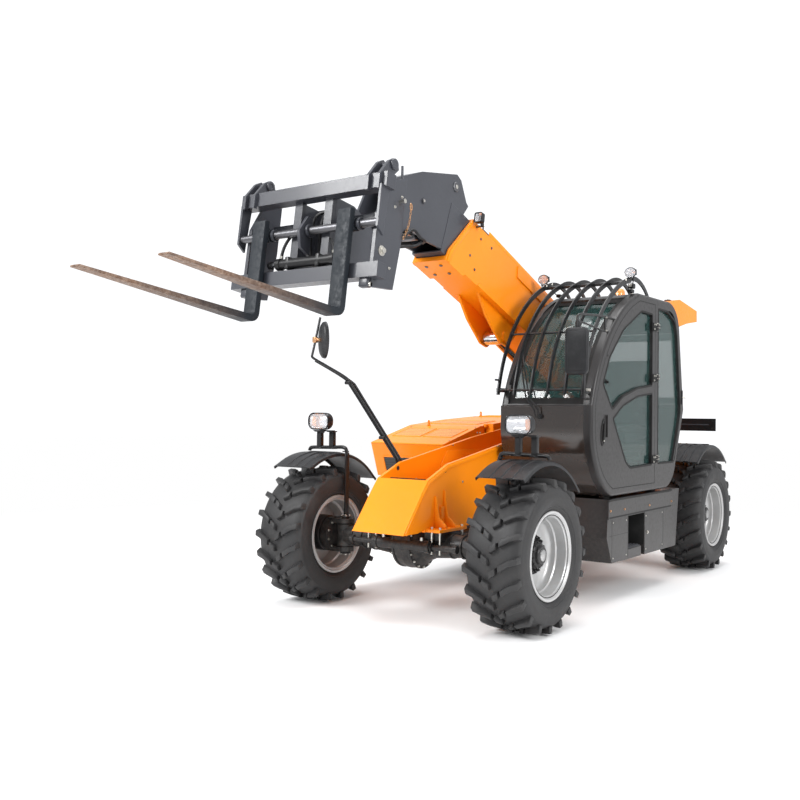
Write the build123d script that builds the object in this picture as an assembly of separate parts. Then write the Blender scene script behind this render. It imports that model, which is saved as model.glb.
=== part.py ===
from build123d import *
import os
from math import sin, cos, radians, degrees, atan2, hypot

# Telehandler, millimetres. It faces -Y, +X is its left side (the cab side), +Z is up.
# Lengths written as d are measured rearward from the front axle, z from the ground.

# Wheels and axles
TYRE_R = 500.0
TYRE_HALF_W = 203.0
RIM_FLANGE_R = 285.0
RIM_SEAT_R = 255.0
RIM_HALF_W = 182.0
LUGS_PER_SIDE = 20
LUG_H = 34.0
LUG_W = 44.0
WHEELBASE = 3295.0
FRONT_AXLE_Y = -672.0
TRACK_HALF = 874.0
KINGPIN_X = 620.0
KINGPIN_R = 26.0
AXLE_BOSS_H = 160.0
ARM_GAP = 6.0
HUB_Z = TYRE_R
SPAN = WHEELBASE / 3295.0  # what is drawn between the axles stretches with the wheelbase
REAR_D = WHEELBASE / SPAN
AXLE_TUBE_R = 72.0
AXLE_CENTRE_R = 178.0
SPINDLE_R = 70.0
FIT = 0.3

# Chassis
PLATE_IN = 190.0
PLATE_T = 22.0
FRAME_BOTTOM = 620.0
FLOOR_T = 20.0
REAR_OVERHANG = 205.0
FRAME_REAR_D = REAR_D + REAR_OVERHANG

# Boom
PIVOT_AHEAD = 95.0
BOOM_PIVOT_D = REAR_D - PIVOT_AHEAD
BOOM_PIVOT_Z = 1593.0
BOOM_ANGLE = 20.5
BOOM_HALF_W = 142.0
BOOM_HALF_H = 215.0
BOOM_WALL = 12.0
BOOM_PIN_R = 45.0
INNER_GAP = 6.0
INNER_WALL = 10.0
HEAD_HALF_W = 121.0
HEAD_PLATE_T = 18.0
LIFT_EYE_U = 2136.0
LIFT_EYE_V = -358.0
LIFT_BASE_AHEAD = 100.0
LIFT_BASE_D = BOOM_PIVOT_D - LIFT_BASE_AHEAD
LIFT_BASE_Z = 1140.0
LIFT_BARREL_R = 62.0
LIFT_ROD_R = 36.0
LIFT_PIN_R = 30.0

# Carriage and forks
TILT_U = 3949.6
TILT_V = -572.4
TILT_PIN_R = 28.0
CARRIAGE_TILT = 8.05
CARRIAGE_HALF = 575.0
FORK_X = 335.0
FORK_W = 100.0
FORK_T = 42.0
FORK_TIP_T = 12.0
FORK_LENGTH = 1280.0

# Cab
CAB_IN = 272.0
CAB_OUT = 1000.0
CAB_WALL = 42.0
DOOR_INSET = 62.0
DOOR_GAP = 5.0
B_PILLAR_D = 1930.0
GLASS_T = 6.0
SILL_Z = 802.0

# Engine side
HOOD_OUT = -1000.0
HOOD_IN = -285.0
HOOD_T = 8.0
HOOD_FRONT_D = 793.0
HOOD_REAR_D = 2640.0

FENDER_W_IN = 685.0
STAY_X = 640.0
FENDER_W_OUT = 1035.0
FRONT_FENDER_R = 600.0
REAR_FENDER_R = 640.0
FENDER_T = 8.0


def yd(d):
    between = min(max(d, 0.0), REAR_D)
    return FRONT_AXLE_Y + between * SPAN + d - between


def side_face(points):
    """Face in a sketch whose axes are Y (given as d) and Z."""
    return make_face(Polyline(*[(yd(d), z) for d, z in points], close=True))


def prism(face, x0, x1):
    """Carries a Y-Z sketch across the machine from x0 to x1."""
    plane = Plane(origin=(x0, 0, 0), x_dir=(0, 1, 0), z_dir=(1, 0, 0))
    return extrude(plane * face, amount=x1 - x0, dir=(1, 0, 0))


def slab(points, x0, x1):
    return prism(side_face(points), x0, x1)


def block(x0, x1, d0, d1, z0, z1):
    centre = Pos((x0 + x1) / 2, yd((d0 + d1) / 2), (z0 + z1) / 2)
    return centre * Box(abs(x1 - x0), abs(d1 - d0), abs(z1 - z0))


def rod_x(d, z, r, x0, x1):
    return Pos((x0 + x1) / 2, yd(d), z) * Rot(0, 90, 0) * Cylinder(r, abs(x1 - x0))


def rod_z(x, d, r, z0, z1):
    return Pos(x, yd(d), (z0 + z1) / 2) * Cylinder(r, abs(z1 - z0))


def rod_between(a, b, r):
    """Round bar between two points (x, d, z)."""
    start = Vector(a[0], yd(a[1]), a[2])
    end = Vector(b[0], yd(b[1]), b[2])
    way = end - start
    return extrude(Plane(origin=start, z_dir=way) * Circle(r), amount=way.length)


def tube_path(points, radii, r):
    """Bent round bar through points (x, d, z)."""
    corners = [Vector(x, yd(d), z) for x, d, z in points]
    path = FilletPolyline(*corners, radius=radii)
    return sweep(Plane(origin=path @ 0, z_dir=path % 0) * Circle(r), path=path)


def arc_band(d, z, r0, r1, a0, a1):
    """Ring sector in the Y-Z sketch; angles from +Y towards +Z."""
    outer = CenterArc((yd(d), z), r1, a0, a1 - a0)
    inner = CenterArc((yd(d), z), r0, a0, a1 - a0)
    return make_face([outer, Line(outer @ 1, inner @ 1), inner, Line(inner @ 0, outer @ 0)])


def mirror_x(shape):
    return mirror(shape, about=Plane.YZ)


def tilted(pivot_d, pivot_z, angle):
    """Point maker on a member that climbs forward at angle: u forward, v square to it."""
    c, s = cos(radians(angle)), sin(radians(angle))

    def at(u, v):
        return (pivot_d - u * c + v * s, pivot_z + u * s + v * c)

    return at


boom_at = tilted(BOOM_PIVOT_D, BOOM_PIVOT_Z, BOOM_ANGLE)
TILT_D, TILT_Z = boom_at(TILT_U, TILT_V)
fork_at = tilted(TILT_D, TILT_Z, CARRIAGE_TILT)

parts = {}

# Wheels: made once about the X axis with the outer side at +X, then carried to each corner
TYRE_BEAD_X = 172.0
TYRE_PROFILE = [
    # x across the wheel, radius
    (-TYRE_BEAD_X, RIM_SEAT_R + FIT),
    (-TYRE_BEAD_X, RIM_FLANGE_R + 3),
    (-TYRE_HALF_W, 342),
    (-TYRE_HALF_W, 392),
    (-184, 446),
    (-100, TYRE_R - LUG_H),
    (100, TYRE_R - LUG_H),
    (184, 446),
    (TYRE_HALF_W, 392),
    (TYRE_HALF_W, 342),
    (TYRE_BEAD_X, RIM_FLANGE_R + 3),
    (TYRE_BEAD_X, RIM_SEAT_R + FIT),
]
# bar lug: corners across the tread (x) and around it (t)
LUG_BAR = [(14, -60), (14, -60 + LUG_W), (190, 62), (190, 62 - LUG_W)]
LUG_ROOT_R = 424.0


def make_tyre():
    carcass = revolve(make_face(Polyline(*TYRE_PROFILE, close=True)), axis=Axis.X)
    reach = max(abs(t) for x, t in LUG_BAR)
    top = (TYRE_R ** 2 - reach ** 2) ** 0.5
    lugs = []
    for side in (1, -1):
        outline = make_face(Polyline(*[(side * x, t) for x, t in LUG_BAR], close=True))
        bar = extrude(Plane.XY.offset(LUG_ROOT_R) * outline, amount=top - LUG_ROOT_R, dir=(0, 0, 1))
        for i in range(LUGS_PER_SIDE):
            turn = 360.0 / LUGS_PER_SIDE * (i + 0.25 * side)
            lugs.append(Rot(turn, 0, 0) * bar)
    return carcass.fuse(*lugs)


RIM_T = 9.0
RIM_PROFILE = [
    (-RIM_HALF_W, RIM_FLANGE_R),
    (-RIM_HALF_W + RIM_T, RIM_FLANGE_R),
    (-RIM_HALF_W + RIM_T, RIM_SEAT_R),
    (-66, RIM_SEAT_R - 4),
    (-54, 240),
    (44, 240),
    (58, RIM_SEAT_R - 4),
    (RIM_HALF_W - RIM_T, RIM_SEAT_R),
    (RIM_HALF_W - RIM_T, RIM_FLANGE_R),
    (RIM_HALF_W, RIM_FLANGE_R),
    (RIM_HALF_W, 250),
    (62, 243),
    (50, 231),
    (32, 231),
    (32, 95),
    (20, 95),
    (20, 231),
    (-58, 231),
    (-70, 243),
    (-RIM_HALF_W, 250),
]
HUB_PROFILE = [
    (-104, SPINDLE_R + FIT),
    (-104, 132),
    (20 - FIT, 132),
    (20 - FIT, 95 - FIT),
    (32 + FIT, 95 - FIT),
    (32 + FIT, 128),
    (50, 128),
    (50, 92),
    (92, 80),
    (98, 64),
    (114, 60),
    (126, 46),
    (126, 0),
    (40, 0),
    (40, SPINDLE_R + FIT),
]


def ring_of(profile):
    return revolve(make_face(Polyline(*profile, close=True)), axis=Axis.X)


tyre = make_tyre()
rim = ring_of(RIM_PROFILE)
hub = ring_of(HUB_PROFILE)
HUB_BOLT_R = 112.0
HUB_BOLTS = 12
for i in range(HUB_BOLTS):
    bolt = Pos(50, 0, 0) * Rot(360.0 / HUB_BOLTS * i, 0, 0) * Pos(0, 0, HUB_BOLT_R)
    hub = hub + bolt * Rot(0, 90, 0) * Cylinder(9, 30)

# corner name, side of the machine, distance behind the front axle
CORNERS = [("fl", 1, 0.0), ("fr", -1, 0.0), ("rl", 1, WHEELBASE), ("rr", -1, WHEELBASE)]

# Steering knuckle, drawn for the left side about its kingpin
ARM_T = 34.0
ARM_IN_X = KINGPIN_X - 58
CARRIER_X = KINGPIN_X + 78
SPINDLE_END_X = TRACK_HALF + 38


def make_knuckle():
    low = HUB_Z - AXLE_BOSS_H / 2 - ARM_GAP
    high = HUB_Z + AXLE_BOSS_H / 2 + ARM_GAP
    carrier = rod_x(0, HUB_Z, 126, CARRIER_X, CARRIER_X + 60)
    spindle = rod_x(0, HUB_Z, SPINDLE_R, CARRIER_X, SPINDLE_END_X - 2)
    upper = block(ARM_IN_X + 58, CARRIER_X + 40, -62, 62, high, high + ARM_T)
    upper = upper + rod_z(KINGPIN_X, 0, 62, high, high + ARM_T)
    lower = block(ARM_IN_X + 58, CARRIER_X + 40, -62, 62, low - ARM_T, low)
    lower = lower + rod_z(KINGPIN_X, 0, 62, low - ARM_T, low)
    pins = rod_z(KINGPIN_X, 0, KINGPIN_R, high - 40, high + ARM_T + 12)
    pins = pins + rod_z(KINGPIN_X, 0, KINGPIN_R, low - ARM_T - 12, low + 40)
    return carrier + spindle + upper + lower + pins


knuckle = make_knuckle()
wheel_place = Pos(TRACK_HALF, FRONT_AXLE_Y, HUB_Z)
for name, side, d in CORNERS:
    back = Pos(0, d, 0)
    for node, shape in (("tyre", wheel_place * tyre), ("rim", wheel_place * rim), ("hub", wheel_place * hub),
                        ("knuckle", knuckle)):
        if side < 0:
            shape = mirror_x(shape)
        parts[node + "_" + name] = back * shape

# Axles: round beam with a central housing and an upright boss at each end for the kingpin
AXLE_PROFILE = [
    (0, 0),
    (0, AXLE_CENTRE_R),
    (60, AXLE_CENTRE_R - 6),
    (130, 120),
    (190, 95),
    (420, AXLE_TUBE_R),
    (KINGPIN_X - 20, AXLE_TUBE_R - 4),
    (KINGPIN_X - 20, 0),
]
PAD_X0 = 165.0
PAD_X1 = 300.0
PAD_HALF_D = 120.0


def make_axle():
    half = ring_of(AXLE_PROFILE)
    boss = rod_z(KINGPIN_X, 0, 60, HUB_Z - AXLE_BOSS_H / 2, HUB_Z + AXLE_BOSS_H / 2)
    bore = rod_z(KINGPIN_X, 0, KINGPIN_R + FIT, HUB_Z - AXLE_BOSS_H, HUB_Z + AXLE_BOSS_H)
    half = Pos(0, FRONT_AXLE_Y, HUB_Z) * half
    pad = block(PAD_X0, PAD_X1, -PAD_HALF_D, PAD_HALF_D, HUB_Z + 40, FRAME_BOTTOM - FLOOR_T)
    half = (half + boss + pad) - bore
    return half + mirror_x(half)


axle = make_axle()
# steering cylinder across the front of the housing, held by two lugs
STEER_CYL_D = -150.0
steer_cyl = rod_x(STEER_CYL_D, HUB_Z, 38, -230, 230) + rod_x(STEER_CYL_D, HUB_Z, 18, -420, 420)
for x in (-180, 180):
    steer_cyl = steer_cyl + block(x - 20, x + 20, STEER_CYL_D, -60, HUB_Z - 30, HUB_Z + 30)
axle = axle + steer_cyl
parts["front_axle"] = axle
# the rear one faces the other way
parts["rear_axle"] = Pos(0, FRONT_AXLE_Y + WHEELBASE, 0) * Rot(0, 0, 180) * Pos(0, -FRONT_AXLE_Y, 0) * axle

# Drive shaft along the middle, a thick joint at each end
SHAFT_JOINT_L = 110.0
drive = rod_between((0, 60, HUB_Z), (0, REAR_D - 60, HUB_Z), 30)
for near, far in ((60, AXLE_CENTRE_R + SHAFT_JOINT_L), (REAR_D - AXLE_CENTRE_R - SHAFT_JOINT_L, REAR_D - 60)):
    drive = drive + rod_between((0, near, HUB_Z), (0, far, HUB_Z), 52)
parts["drive_shaft"] = drive - parts["front_axle"] - parts["rear_axle"]

# Chassis: two upright side plates with a sloped nose, floor, rear tower and axle seats
SIDE_OUTLINE = [
    # d, z
    (-438, 600),
    (-212, 880),
    (-154, 946),
    (94, 1046),
    (1085, 1212),
    (2500, 1400),
    (BOOM_PIVOT_D - 240, 1461),
    (BOOM_PIVOT_D - 140, BOOM_PIVOT_Z + 97),
    (BOOM_PIVOT_D - 70, BOOM_PIVOT_Z + 142),
    (BOOM_PIVOT_D + 70, BOOM_PIVOT_Z + 142),
    (BOOM_PIVOT_D + 145, BOOM_PIVOT_Z + 97),
    (FRAME_REAR_D, 1420),
    (FRAME_REAR_D, FRAME_BOTTOM),
    (-190, FRAME_BOTTOM),
    (-270, 600),
]
plate = slab(SIDE_OUTLINE, PLATE_IN, PLATE_IN + PLATE_T)
pivot_boss = rod_x(BOOM_PIVOT_D, BOOM_PIVOT_Z, 95, PLATE_IN + PLATE_T, PLATE_IN + PLATE_T + 20)
lift_boss = rod_x(LIFT_BASE_D, LIFT_BASE_Z, 70, PLATE_IN + PLATE_T, PLATE_IN + PLATE_T + 14)
seat_flange = block(PLATE_IN, 320, -170, 170, FRAME_BOTTOM - FLOOR_T, FRAME_BOTTOM)
gusset = slab([(-20, FRAME_BOTTOM), (20, FRAME_BOTTOM), (20, 760), (-20, 760)], PLATE_IN + PLATE_T, 232)
left_plate = plate + pivot_boss + lift_boss + seat_flange + gusset + (Pos(0, WHEELBASE, 0) * seat_flange)
pin_holes = rod_x(BOOM_PIVOT_D, BOOM_PIVOT_Z, BOOM_PIN_R + FIT, -400, 400)
pin_holes = pin_holes + rod_x(LIFT_BASE_D, LIFT_BASE_Z, LIFT_PIN_R + FIT, -400, 400)
NOSE_T = 20.0
nose = slab([(-438, 600), (-212, 880), (-154, 946), (-130, 946 - NOSE_T), (-196, 868), (-412, 600)],
            -PLATE_IN, PLATE_IN)
floor = block(-PLATE_IN - PLATE_T, PLATE_IN + PLATE_T, -190, FRAME_REAR_D, FRAME_BOTTOM - FLOOR_T, FRAME_BOTTOM)
nose_floor = slab([(-438, 600), (-425, 615), (-190, 620), (-190, 600)], -PLATE_IN, PLATE_IN)
rear_wall = block(-PLATE_IN, PLATE_IN, FRAME_REAR_D - 20, FRAME_REAR_D, FRAME_BOTTOM, 1290)
bulkhead = block(-PLATE_IN, PLATE_IN, 540, 560, FRAME_BOTTOM, 860)
chassis = left_plate + mirror_x(left_plate) + nose + floor + nose_floor + rear_wall + bulkhead
housing_room = rod_x(0, HUB_Z, AXLE_CENTRE_R + 8, -PLATE_IN, PLATE_IN)
chassis = chassis - pin_holes - housing_room - (Pos(0, WHEELBASE, 0) * housing_room)
# carrying arms for cab and engine pod
ARM_SPOTS = [1250.0, 2250.0]
ARM_HALF = 40.0
ARM_REACH = 900.0
ARM_LOW = 640.0
ARM_HIGH = 720.0
for d in ARM_SPOTS:
    carrier = block(PLATE_IN + PLATE_T, ARM_REACH, d - ARM_HALF, d + ARM_HALF, ARM_LOW, ARM_HIGH)
    chassis = chassis + carrier + mirror_x(carrier)


def arm_room(d):
    """Pocket that a carrying arm slides into."""
    return block(100, ARM_REACH + FIT, d - ARM_HALF - FIT, d + ARM_HALF + FIT, ARM_LOW - FIT, ARM_HIGH + FIT)


# rear fender arms
REAR_ARM_HALF = 25.0
REAR_ARM_Z = HUB_Z + ((REAR_FENDER_R - FENDER_T) ** 2 - REAR_ARM_HALF ** 2) ** 0.5 - FIT
for side in (1, -1):
    chassis = chassis + block(side * (PLATE_IN + PLATE_T), side * 820, REAR_D - REAR_ARM_HALF,
                              REAR_D + REAR_ARM_HALF, REAR_ARM_Z - 40, REAR_ARM_Z)


# hood hinge: two brackets on the right plate, pins along the slope of the hood's inner top edge
HOOD_AXIS_X = HOOD_IN + 12
HOOD_AXIS_D = 1833.0
HOOD_AXIS_Z = 1332.0
HOOD_AXIS_SLOPE = 4.316
HOOD_PIN_R = 8.0
HOOD_PIN_HALF = 45.0
HOOD_HINGES = [-380.0, 480.0]


def hood_axis_rod(r, along_from, along_to):
    """Round bar on the hood's hinge line."""
    c, s = cos(radians(HOOD_AXIS_SLOPE)), sin(radians(HOOD_AXIS_SLOPE))
    a = (HOOD_AXIS_X, HOOD_AXIS_D + along_from * c, HOOD_AXIS_Z + along_from * s)
    b = (HOOD_AXIS_X, HOOD_AXIS_D + along_to * c, HOOD_AXIS_Z + along_to * s)
    return rod_between(a, b, r)


for t in HOOD_HINGES:
    d = HOOD_AXIS_D + t
    z = HOOD_AXIS_Z + t * sin(radians(HOOD_AXIS_SLOPE))
    chassis = chassis + block(HOOD_AXIS_X - 11, -PLATE_IN - PLATE_T, d - 10, d + 10, z - 110, z + 14)
    chassis = chassis + hood_axis_rod(HOOD_PIN_R, t - HOOD_PIN_HALF, t + HOOD_PIN_HALF)
parts["chassis_frame"] = chassis

# Boom: outer box section with pivot tube, rod eye bracket, strips and hollow front
def boom_slab(uv, x0, x1):
    return slab([boom_at(u, v) for u, v in uv], x0, x1)


def boom_rod(u, v, r, x0, x1):
    d, z = boom_at(u, v)
    return rod_x(d, z, r, x0, x1)


H = BOOM_HALF_H
outer = boom_slab([(-120, -130), (-120, 130), (250, H), (2960, H), (3165, -150), (3182, -H - 26), (2935, -H - 26),
                   (2900, -H), (250, -H)], -BOOM_HALF_W, BOOM_HALF_W)
cavity = boom_slab([(450, H - BOOM_WALL), (3300, H - BOOM_WALL), (3300, -H + BOOM_WALL), (450, -H + BOOM_WALL)],
                   -BOOM_HALF_W + BOOM_WALL, BOOM_HALF_W - BOOM_WALL)
outer = outer - cavity
# wear pads that the inner section slides on, at the mouth of the outer one
PAD_T = INNER_GAP - FIT
PAD_W = 70.0
MOUTH_PADS = (2830, 2930)
TAIL_PAD_L = 100.0


def pads(u0, u1, half_w, half_h, thick):
    """Four flat pads on the sides of a box section, from its surface at half_w, half_h outward by thick."""
    flat = boom_slab([(u0, half_h), (u1, half_h), (u1, half_h + thick), (u0, half_h + thick)], -PAD_W, PAD_W)
    under = boom_slab([(u0, -half_h), (u1, -half_h), (u1, -half_h - thick), (u0, -half_h - thick)], -PAD_W, PAD_W)
    side = boom_slab([(u0, -PAD_W), (u1, -PAD_W), (u1, PAD_W), (u0, PAD_W)], half_w, half_w + thick)
    return flat + under + side + mirror_x(side)


outer = outer + pads(MOUTH_PADS[0], MOUTH_PADS[1], BOOM_HALF_W - BOOM_WALL - PAD_T, H - BOOM_WALL - PAD_T, PAD_T)
strip_low = boom_slab([(250, -H), (250, -174), (2690, -174), (2740, -H)], BOOM_HALF_W, BOOM_HALF_W + 10)
strip_top = boom_slab([(250, 128), (250, H), (2230, H), (2205, 128)], BOOM_HALF_W, BOOM_HALF_W + 10)
eye_plate = boom_slab([(LIFT_EYE_U + 484, -H), (LIFT_EYE_U + 294, LIFT_EYE_V + 25), (LIFT_EYE_U + 44, LIFT_EYE_V - 67),
                       (LIFT_EYE_U - 56, LIFT_EYE_V - 57), (LIFT_EYE_U - 126, LIFT_EYE_V + 28), (LIFT_EYE_U - 176, -H)],
                      78, 98)
side_bits = strip_low + strip_top + eye_plate
outer = outer + side_bits + mirror_x(side_bits)
outer = outer + boom_rod(0, 0, 95, -PLATE_IN + 3, PLATE_IN - 3)
outer = outer - boom_rod(0, 0, BOOM_PIN_R + FIT, -400, 400)
for side in (1, -1):
    outer = outer + boom_rod(LIFT_EYE_U, LIFT_EYE_V, LIFT_PIN_R + 14, side * 78, side * 112)
parts["boom_outer"] = outer
PIN_END = PLATE_IN + PLATE_T + 26
chassis_pins = boom_rod(0, 0, BOOM_PIN_R, -PIN_END, PIN_END)
chassis_pins = chassis_pins + rod_x(LIFT_BASE_D, LIFT_BASE_Z, LIFT_PIN_R, -PIN_END, PIN_END)
parts["chassis_pins"] = chassis_pins

# Inner boom section with the head that carries the carriage
IN_W = BOOM_HALF_W - BOOM_WALL - INNER_GAP
IN_H = H - BOOM_WALL - INNER_GAP
INNER_TAIL_U = 700.0
inner = boom_slab([(INNER_TAIL_U, -IN_H), (INNER_TAIL_U, IN_H), (3230, IN_H), (3230, -IN_H)], -IN_W, IN_W)
inner_hollow = boom_slab([(INNER_TAIL_U - 10, -IN_H + INNER_WALL), (INNER_TAIL_U - 10, IN_H - INNER_WALL),
                          (3300, IN_H - INNER_WALL), (3300, -IN_H + INNER_WALL)], -IN_W + INNER_WALL, IN_W - INNER_WALL)
inner = inner - inner_hollow + pads(INNER_TAIL_U, INNER_TAIL_U + TAIL_PAD_L, IN_W, IN_H, PAD_T)
HEAD_OUTLINE = [
    # along the boom, square to it
    (3198, -172),
    (2946, 260),
    (3054, 302),
    (3173, 414),
    (3236, 425),
    (3627, 199),
    (3866, 3),
    (3935, -439),
    (4031, -571),
    (4011, -638),
    (3922, -646),
    (3812, -542),
    (3643, -244),
    (3399, -217),
]
front_trim = boom_slab([(2975, 400), (3300, -400), (2000, -400), (2000, 400)], -300, 300)
head_plate = boom_slab(HEAD_OUTLINE, HEAD_HALF_W - HEAD_PLATE_T, HEAD_HALF_W) - front_trim
head_plate = head_plate + mirror_x(head_plate)
head_web = boom_slab([(3236, 425), (3627, 199), (3866, 3), (3852, -4), (3620, 189), (3236, 410)],
                     -HEAD_HALF_W, HEAD_HALF_W) - front_trim
inner = inner + head_plate + head_web
tilt_hole = rod_x(TILT_D, TILT_Z, TILT_PIN_R + FIT, -300, 300)
parts["boom_inner"] = inner - tilt_hole

# Lift cylinder: barrel on the chassis, rod at the boom
class CylinderLine:
    """Straight line from a cylinder's base pin to its rod's pin; u runs along it."""

    def __init__(self, base, end):
        self.start = Vector(0, yd(base[0]), base[1])
        way = Vector(0, yd(end[0]), end[1]) - self.start
        self.length = way.length
        self.way = way.normalized()

    def at(self, u):
        return self.start + self.way * u

    def rod(self, u0, u1, r):
        return extrude(Plane(origin=self.at(u0), z_dir=self.way) * Circle(r), amount=u1 - u0)

    def eye(self, u, r, half):
        place = self.at(u)
        return Pos(0, place.Y, place.Z) * Rot(0, 90, 0) * Cylinder(r, 2 * half)


lift = CylinderLine((LIFT_BASE_D, LIFT_BASE_Z), boom_at(LIFT_EYE_U, LIFT_EYE_V))
BARREL_END_U = 1560.0
BARREL_FOOT_U = 180.0
LIFT_IN_TRAVEL = 230.0
barrel = lift.rod(40, BARREL_END_U, LIFT_BARREL_R) + lift.eye(0, 66, 70)
barrel = barrel - lift.rod(BARREL_FOOT_U, BARREL_END_U + 10, LIFT_ROD_R + 0.5)
barrel = barrel - lift.eye(0, LIFT_PIN_R + FIT, 100)
rod = lift.rod(BARREL_FOOT_U + LIFT_IN_TRAVEL, lift.length - 30, LIFT_ROD_R) + lift.eye(lift.length, 58, 62)
rod = rod + lift.eye(lift.length, LIFT_PIN_R, 78 - FIT)
parts["lift_barrel"] = barrel
parts["lift_rod"] = rod

# Carriage
def fork_slab(uv, x0, x1):
    return slab([fork_at(u, v) for u, v in uv], x0, x1)


def fork_rod(u, v, r, x0, x1):
    d, z = fork_at(u, v)
    return rod_x(d, z, r, x0, x1)


# Rocker on the tilt pin, moved by the tilt cylinder inside the head
ROCKER_R = 160.0
ROCKER_ANGLE = 60.0
ROCKER_X0 = 58.0
ROCKER_X1 = 78.0
rocker_d = TILT_D - ROCKER_R * cos(radians(ROCKER_ANGLE))
rocker_z = TILT_Z + ROCKER_R * sin(radians(ROCKER_ANGLE))
LUG_X0 = HEAD_HALF_W + 6
LUG_X1 = LUG_X0 + 24


def link_plate(d0, z0, r0, d1, z1, r1, x0, x1):
    """Flat link with round ends."""
    length = hypot(d1 - d0, z1 - z0)
    turn = degrees(atan2(z1 - z0, d1 - d0))
    web = Pos(length / 2, 0) * Rectangle(length, 1.7 * min(r0, r1))
    face = Pos(yd(d0), z0) * Rot(0, 0, turn) * (Circle(r0) + Pos(length, 0) * Circle(r1) + web)
    return prism(face, x0, x1)


arm = link_plate(TILT_D, TILT_Z, 52, rocker_d, rocker_z, 36, ROCKER_X0, ROCKER_X1)
arm = arm + rod_x(rocker_d, rocker_z, 24, ROCKER_X0, ROCKER_X1 + 12)
rocker = arm + mirror_x(arm) + rod_x(TILT_D, TILT_Z, TILT_PIN_R, -LUG_X1 - 14, LUG_X1 + 14)
parts["tilt_rocker"] = rocker

TILT_BASE_U = 3219.6
TILT_BASE_V = 330.4
TILT_BASE_D, TILT_BASE_Z = boom_at(TILT_BASE_U, TILT_BASE_V)
TILT_BARREL_R = 46.0
TILT_ROD_R = 25.0
TILT_BARREL_U = 760.0
TILT_FOOT_U = 120.0
TILT_IN_TRAVEL = 85.0
tilt = CylinderLine((TILT_BASE_D, TILT_BASE_Z), (rocker_d, rocker_z))
tilt_barrel = tilt.rod(30, TILT_BARREL_U, TILT_BARREL_R) + tilt.eye(0, 42, 36)
tilt_barrel = tilt_barrel - tilt.rod(TILT_FOOT_U, TILT_BARREL_U + 10, TILT_ROD_R + 0.5)
tilt_barrel = tilt_barrel - tilt.eye(0, 20 + FIT, 60)
tilt_rod = tilt.rod(TILT_FOOT_U + TILT_IN_TRAVEL, tilt.length - 20, TILT_ROD_R) + tilt.eye(tilt.length, 34, 34)
tilt_rod = tilt_rod + tilt.eye(tilt.length, 18, ROCKER_X0 - FIT)
parts["tilt_barrel"] = tilt_barrel
parts["tilt_rod"] = tilt_rod
parts["boom_inner"] = parts["boom_inner"] + tilt.eye(0, 20, HEAD_HALF_W + 8)

carriage_lug = fork_slab([(-50, -34), (-50, 34), (-20, 56), (60, 120), (235, 190), (405, 190), (405, -262), (235, -240),
                          (60, -120), (-20, -56)], LUG_X0, LUG_X1)
carriage_lug = carriage_lug - rod_x(TILT_D, TILT_Z, TILT_PIN_R + FIT, 0, 400)

SIDE_PLATE_UV = [(205, 330), (340, 268), (450, 40), (455, -400), (245, -365), (203, -49)]
side_plate = fork_slab(SIDE_PLATE_UV, 488, 512)
EAR = [(395, 260), (330, 330), (345, 372), (385, 385), (430, 355), (505, 250), (505, 165), (478, 165), (478, 262)]
ear = fork_slab(EAR, 520, 540)
ear_in = fork_slab(EAR, 440, 460)
ear_pin = fork_rod(385, 345, 20, 430, 552)
gusset_f = fork_slab([(420, 190), (500, 190), (500, -60), (440, -100)], 540, 556)
carriage_side = side_plate + ear + ear_in + ear_pin + gusset_f + carriage_lug
carriage = carriage_side + mirror_x(carriage_side)
TOP_BAR = [(395, 180), (395, 268), (480, 268), (480, 180)]
LOW_BAR = [(410, -350), (410, -262), (490, -262), (490, -350)]
top_bar = fork_slab(TOP_BAR, -CARRIAGE_HALF, CARRIAGE_HALF)
low_bar = fork_slab(LOW_BAR, -CARRIAGE_HALF, CARRIAGE_HALF)
carriage = carriage + top_bar + low_bar
UPRIGHTS = [-120.0, 120.0]
UPRIGHT_U = 436.0
for x in UPRIGHTS:
    carriage = carriage + fork_slab([(400, 190), (UPRIGHT_U, 190), (UPRIGHT_U, -280), (400, -280)], x - 30, x + 30)
back_plate = fork_slab([(235, 180), (250, 190), (250, -240), (235, -240)], -LUG_X1, LUG_X1)
carriage = carriage + back_plate
for side in (1, -1):
    tie = fork_slab([(245, 120), (260, 120), (260, 60), (245, 60)], side * LUG_X0, side * 490)
    tie = tie + fork_slab([(245, -180), (260, -180), (260, -240), (245, -240)], side * LUG_X0, side * 490)
    carriage = carriage + tie
SHAFT_U = 470.0
SHAFT_V = -25.0
SHAFT_R = 24.0
SHAFT_END = 536.0
shaft = fork_rod(SHAFT_U, SHAFT_V, SHAFT_R, -SHAFT_END, SHAFT_END)
SHIFT_V = -215.0
SHIFT_R = 30.0
SHIFT_U = UPRIGHT_U + SHIFT_R + FIT
shift = fork_rod(SHIFT_U, SHIFT_V, SHIFT_R, -200, 235) + fork_rod(SHIFT_U, SHIFT_V, 14, -260, 200)
parts["carriage_frame"] = carriage - fork_rod(SHAFT_U, SHAFT_V, SHAFT_R + FIT, -SHAFT_END - FIT, SHAFT_END + FIT)
parts["carriage_rods"] = shaft + shift

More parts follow.
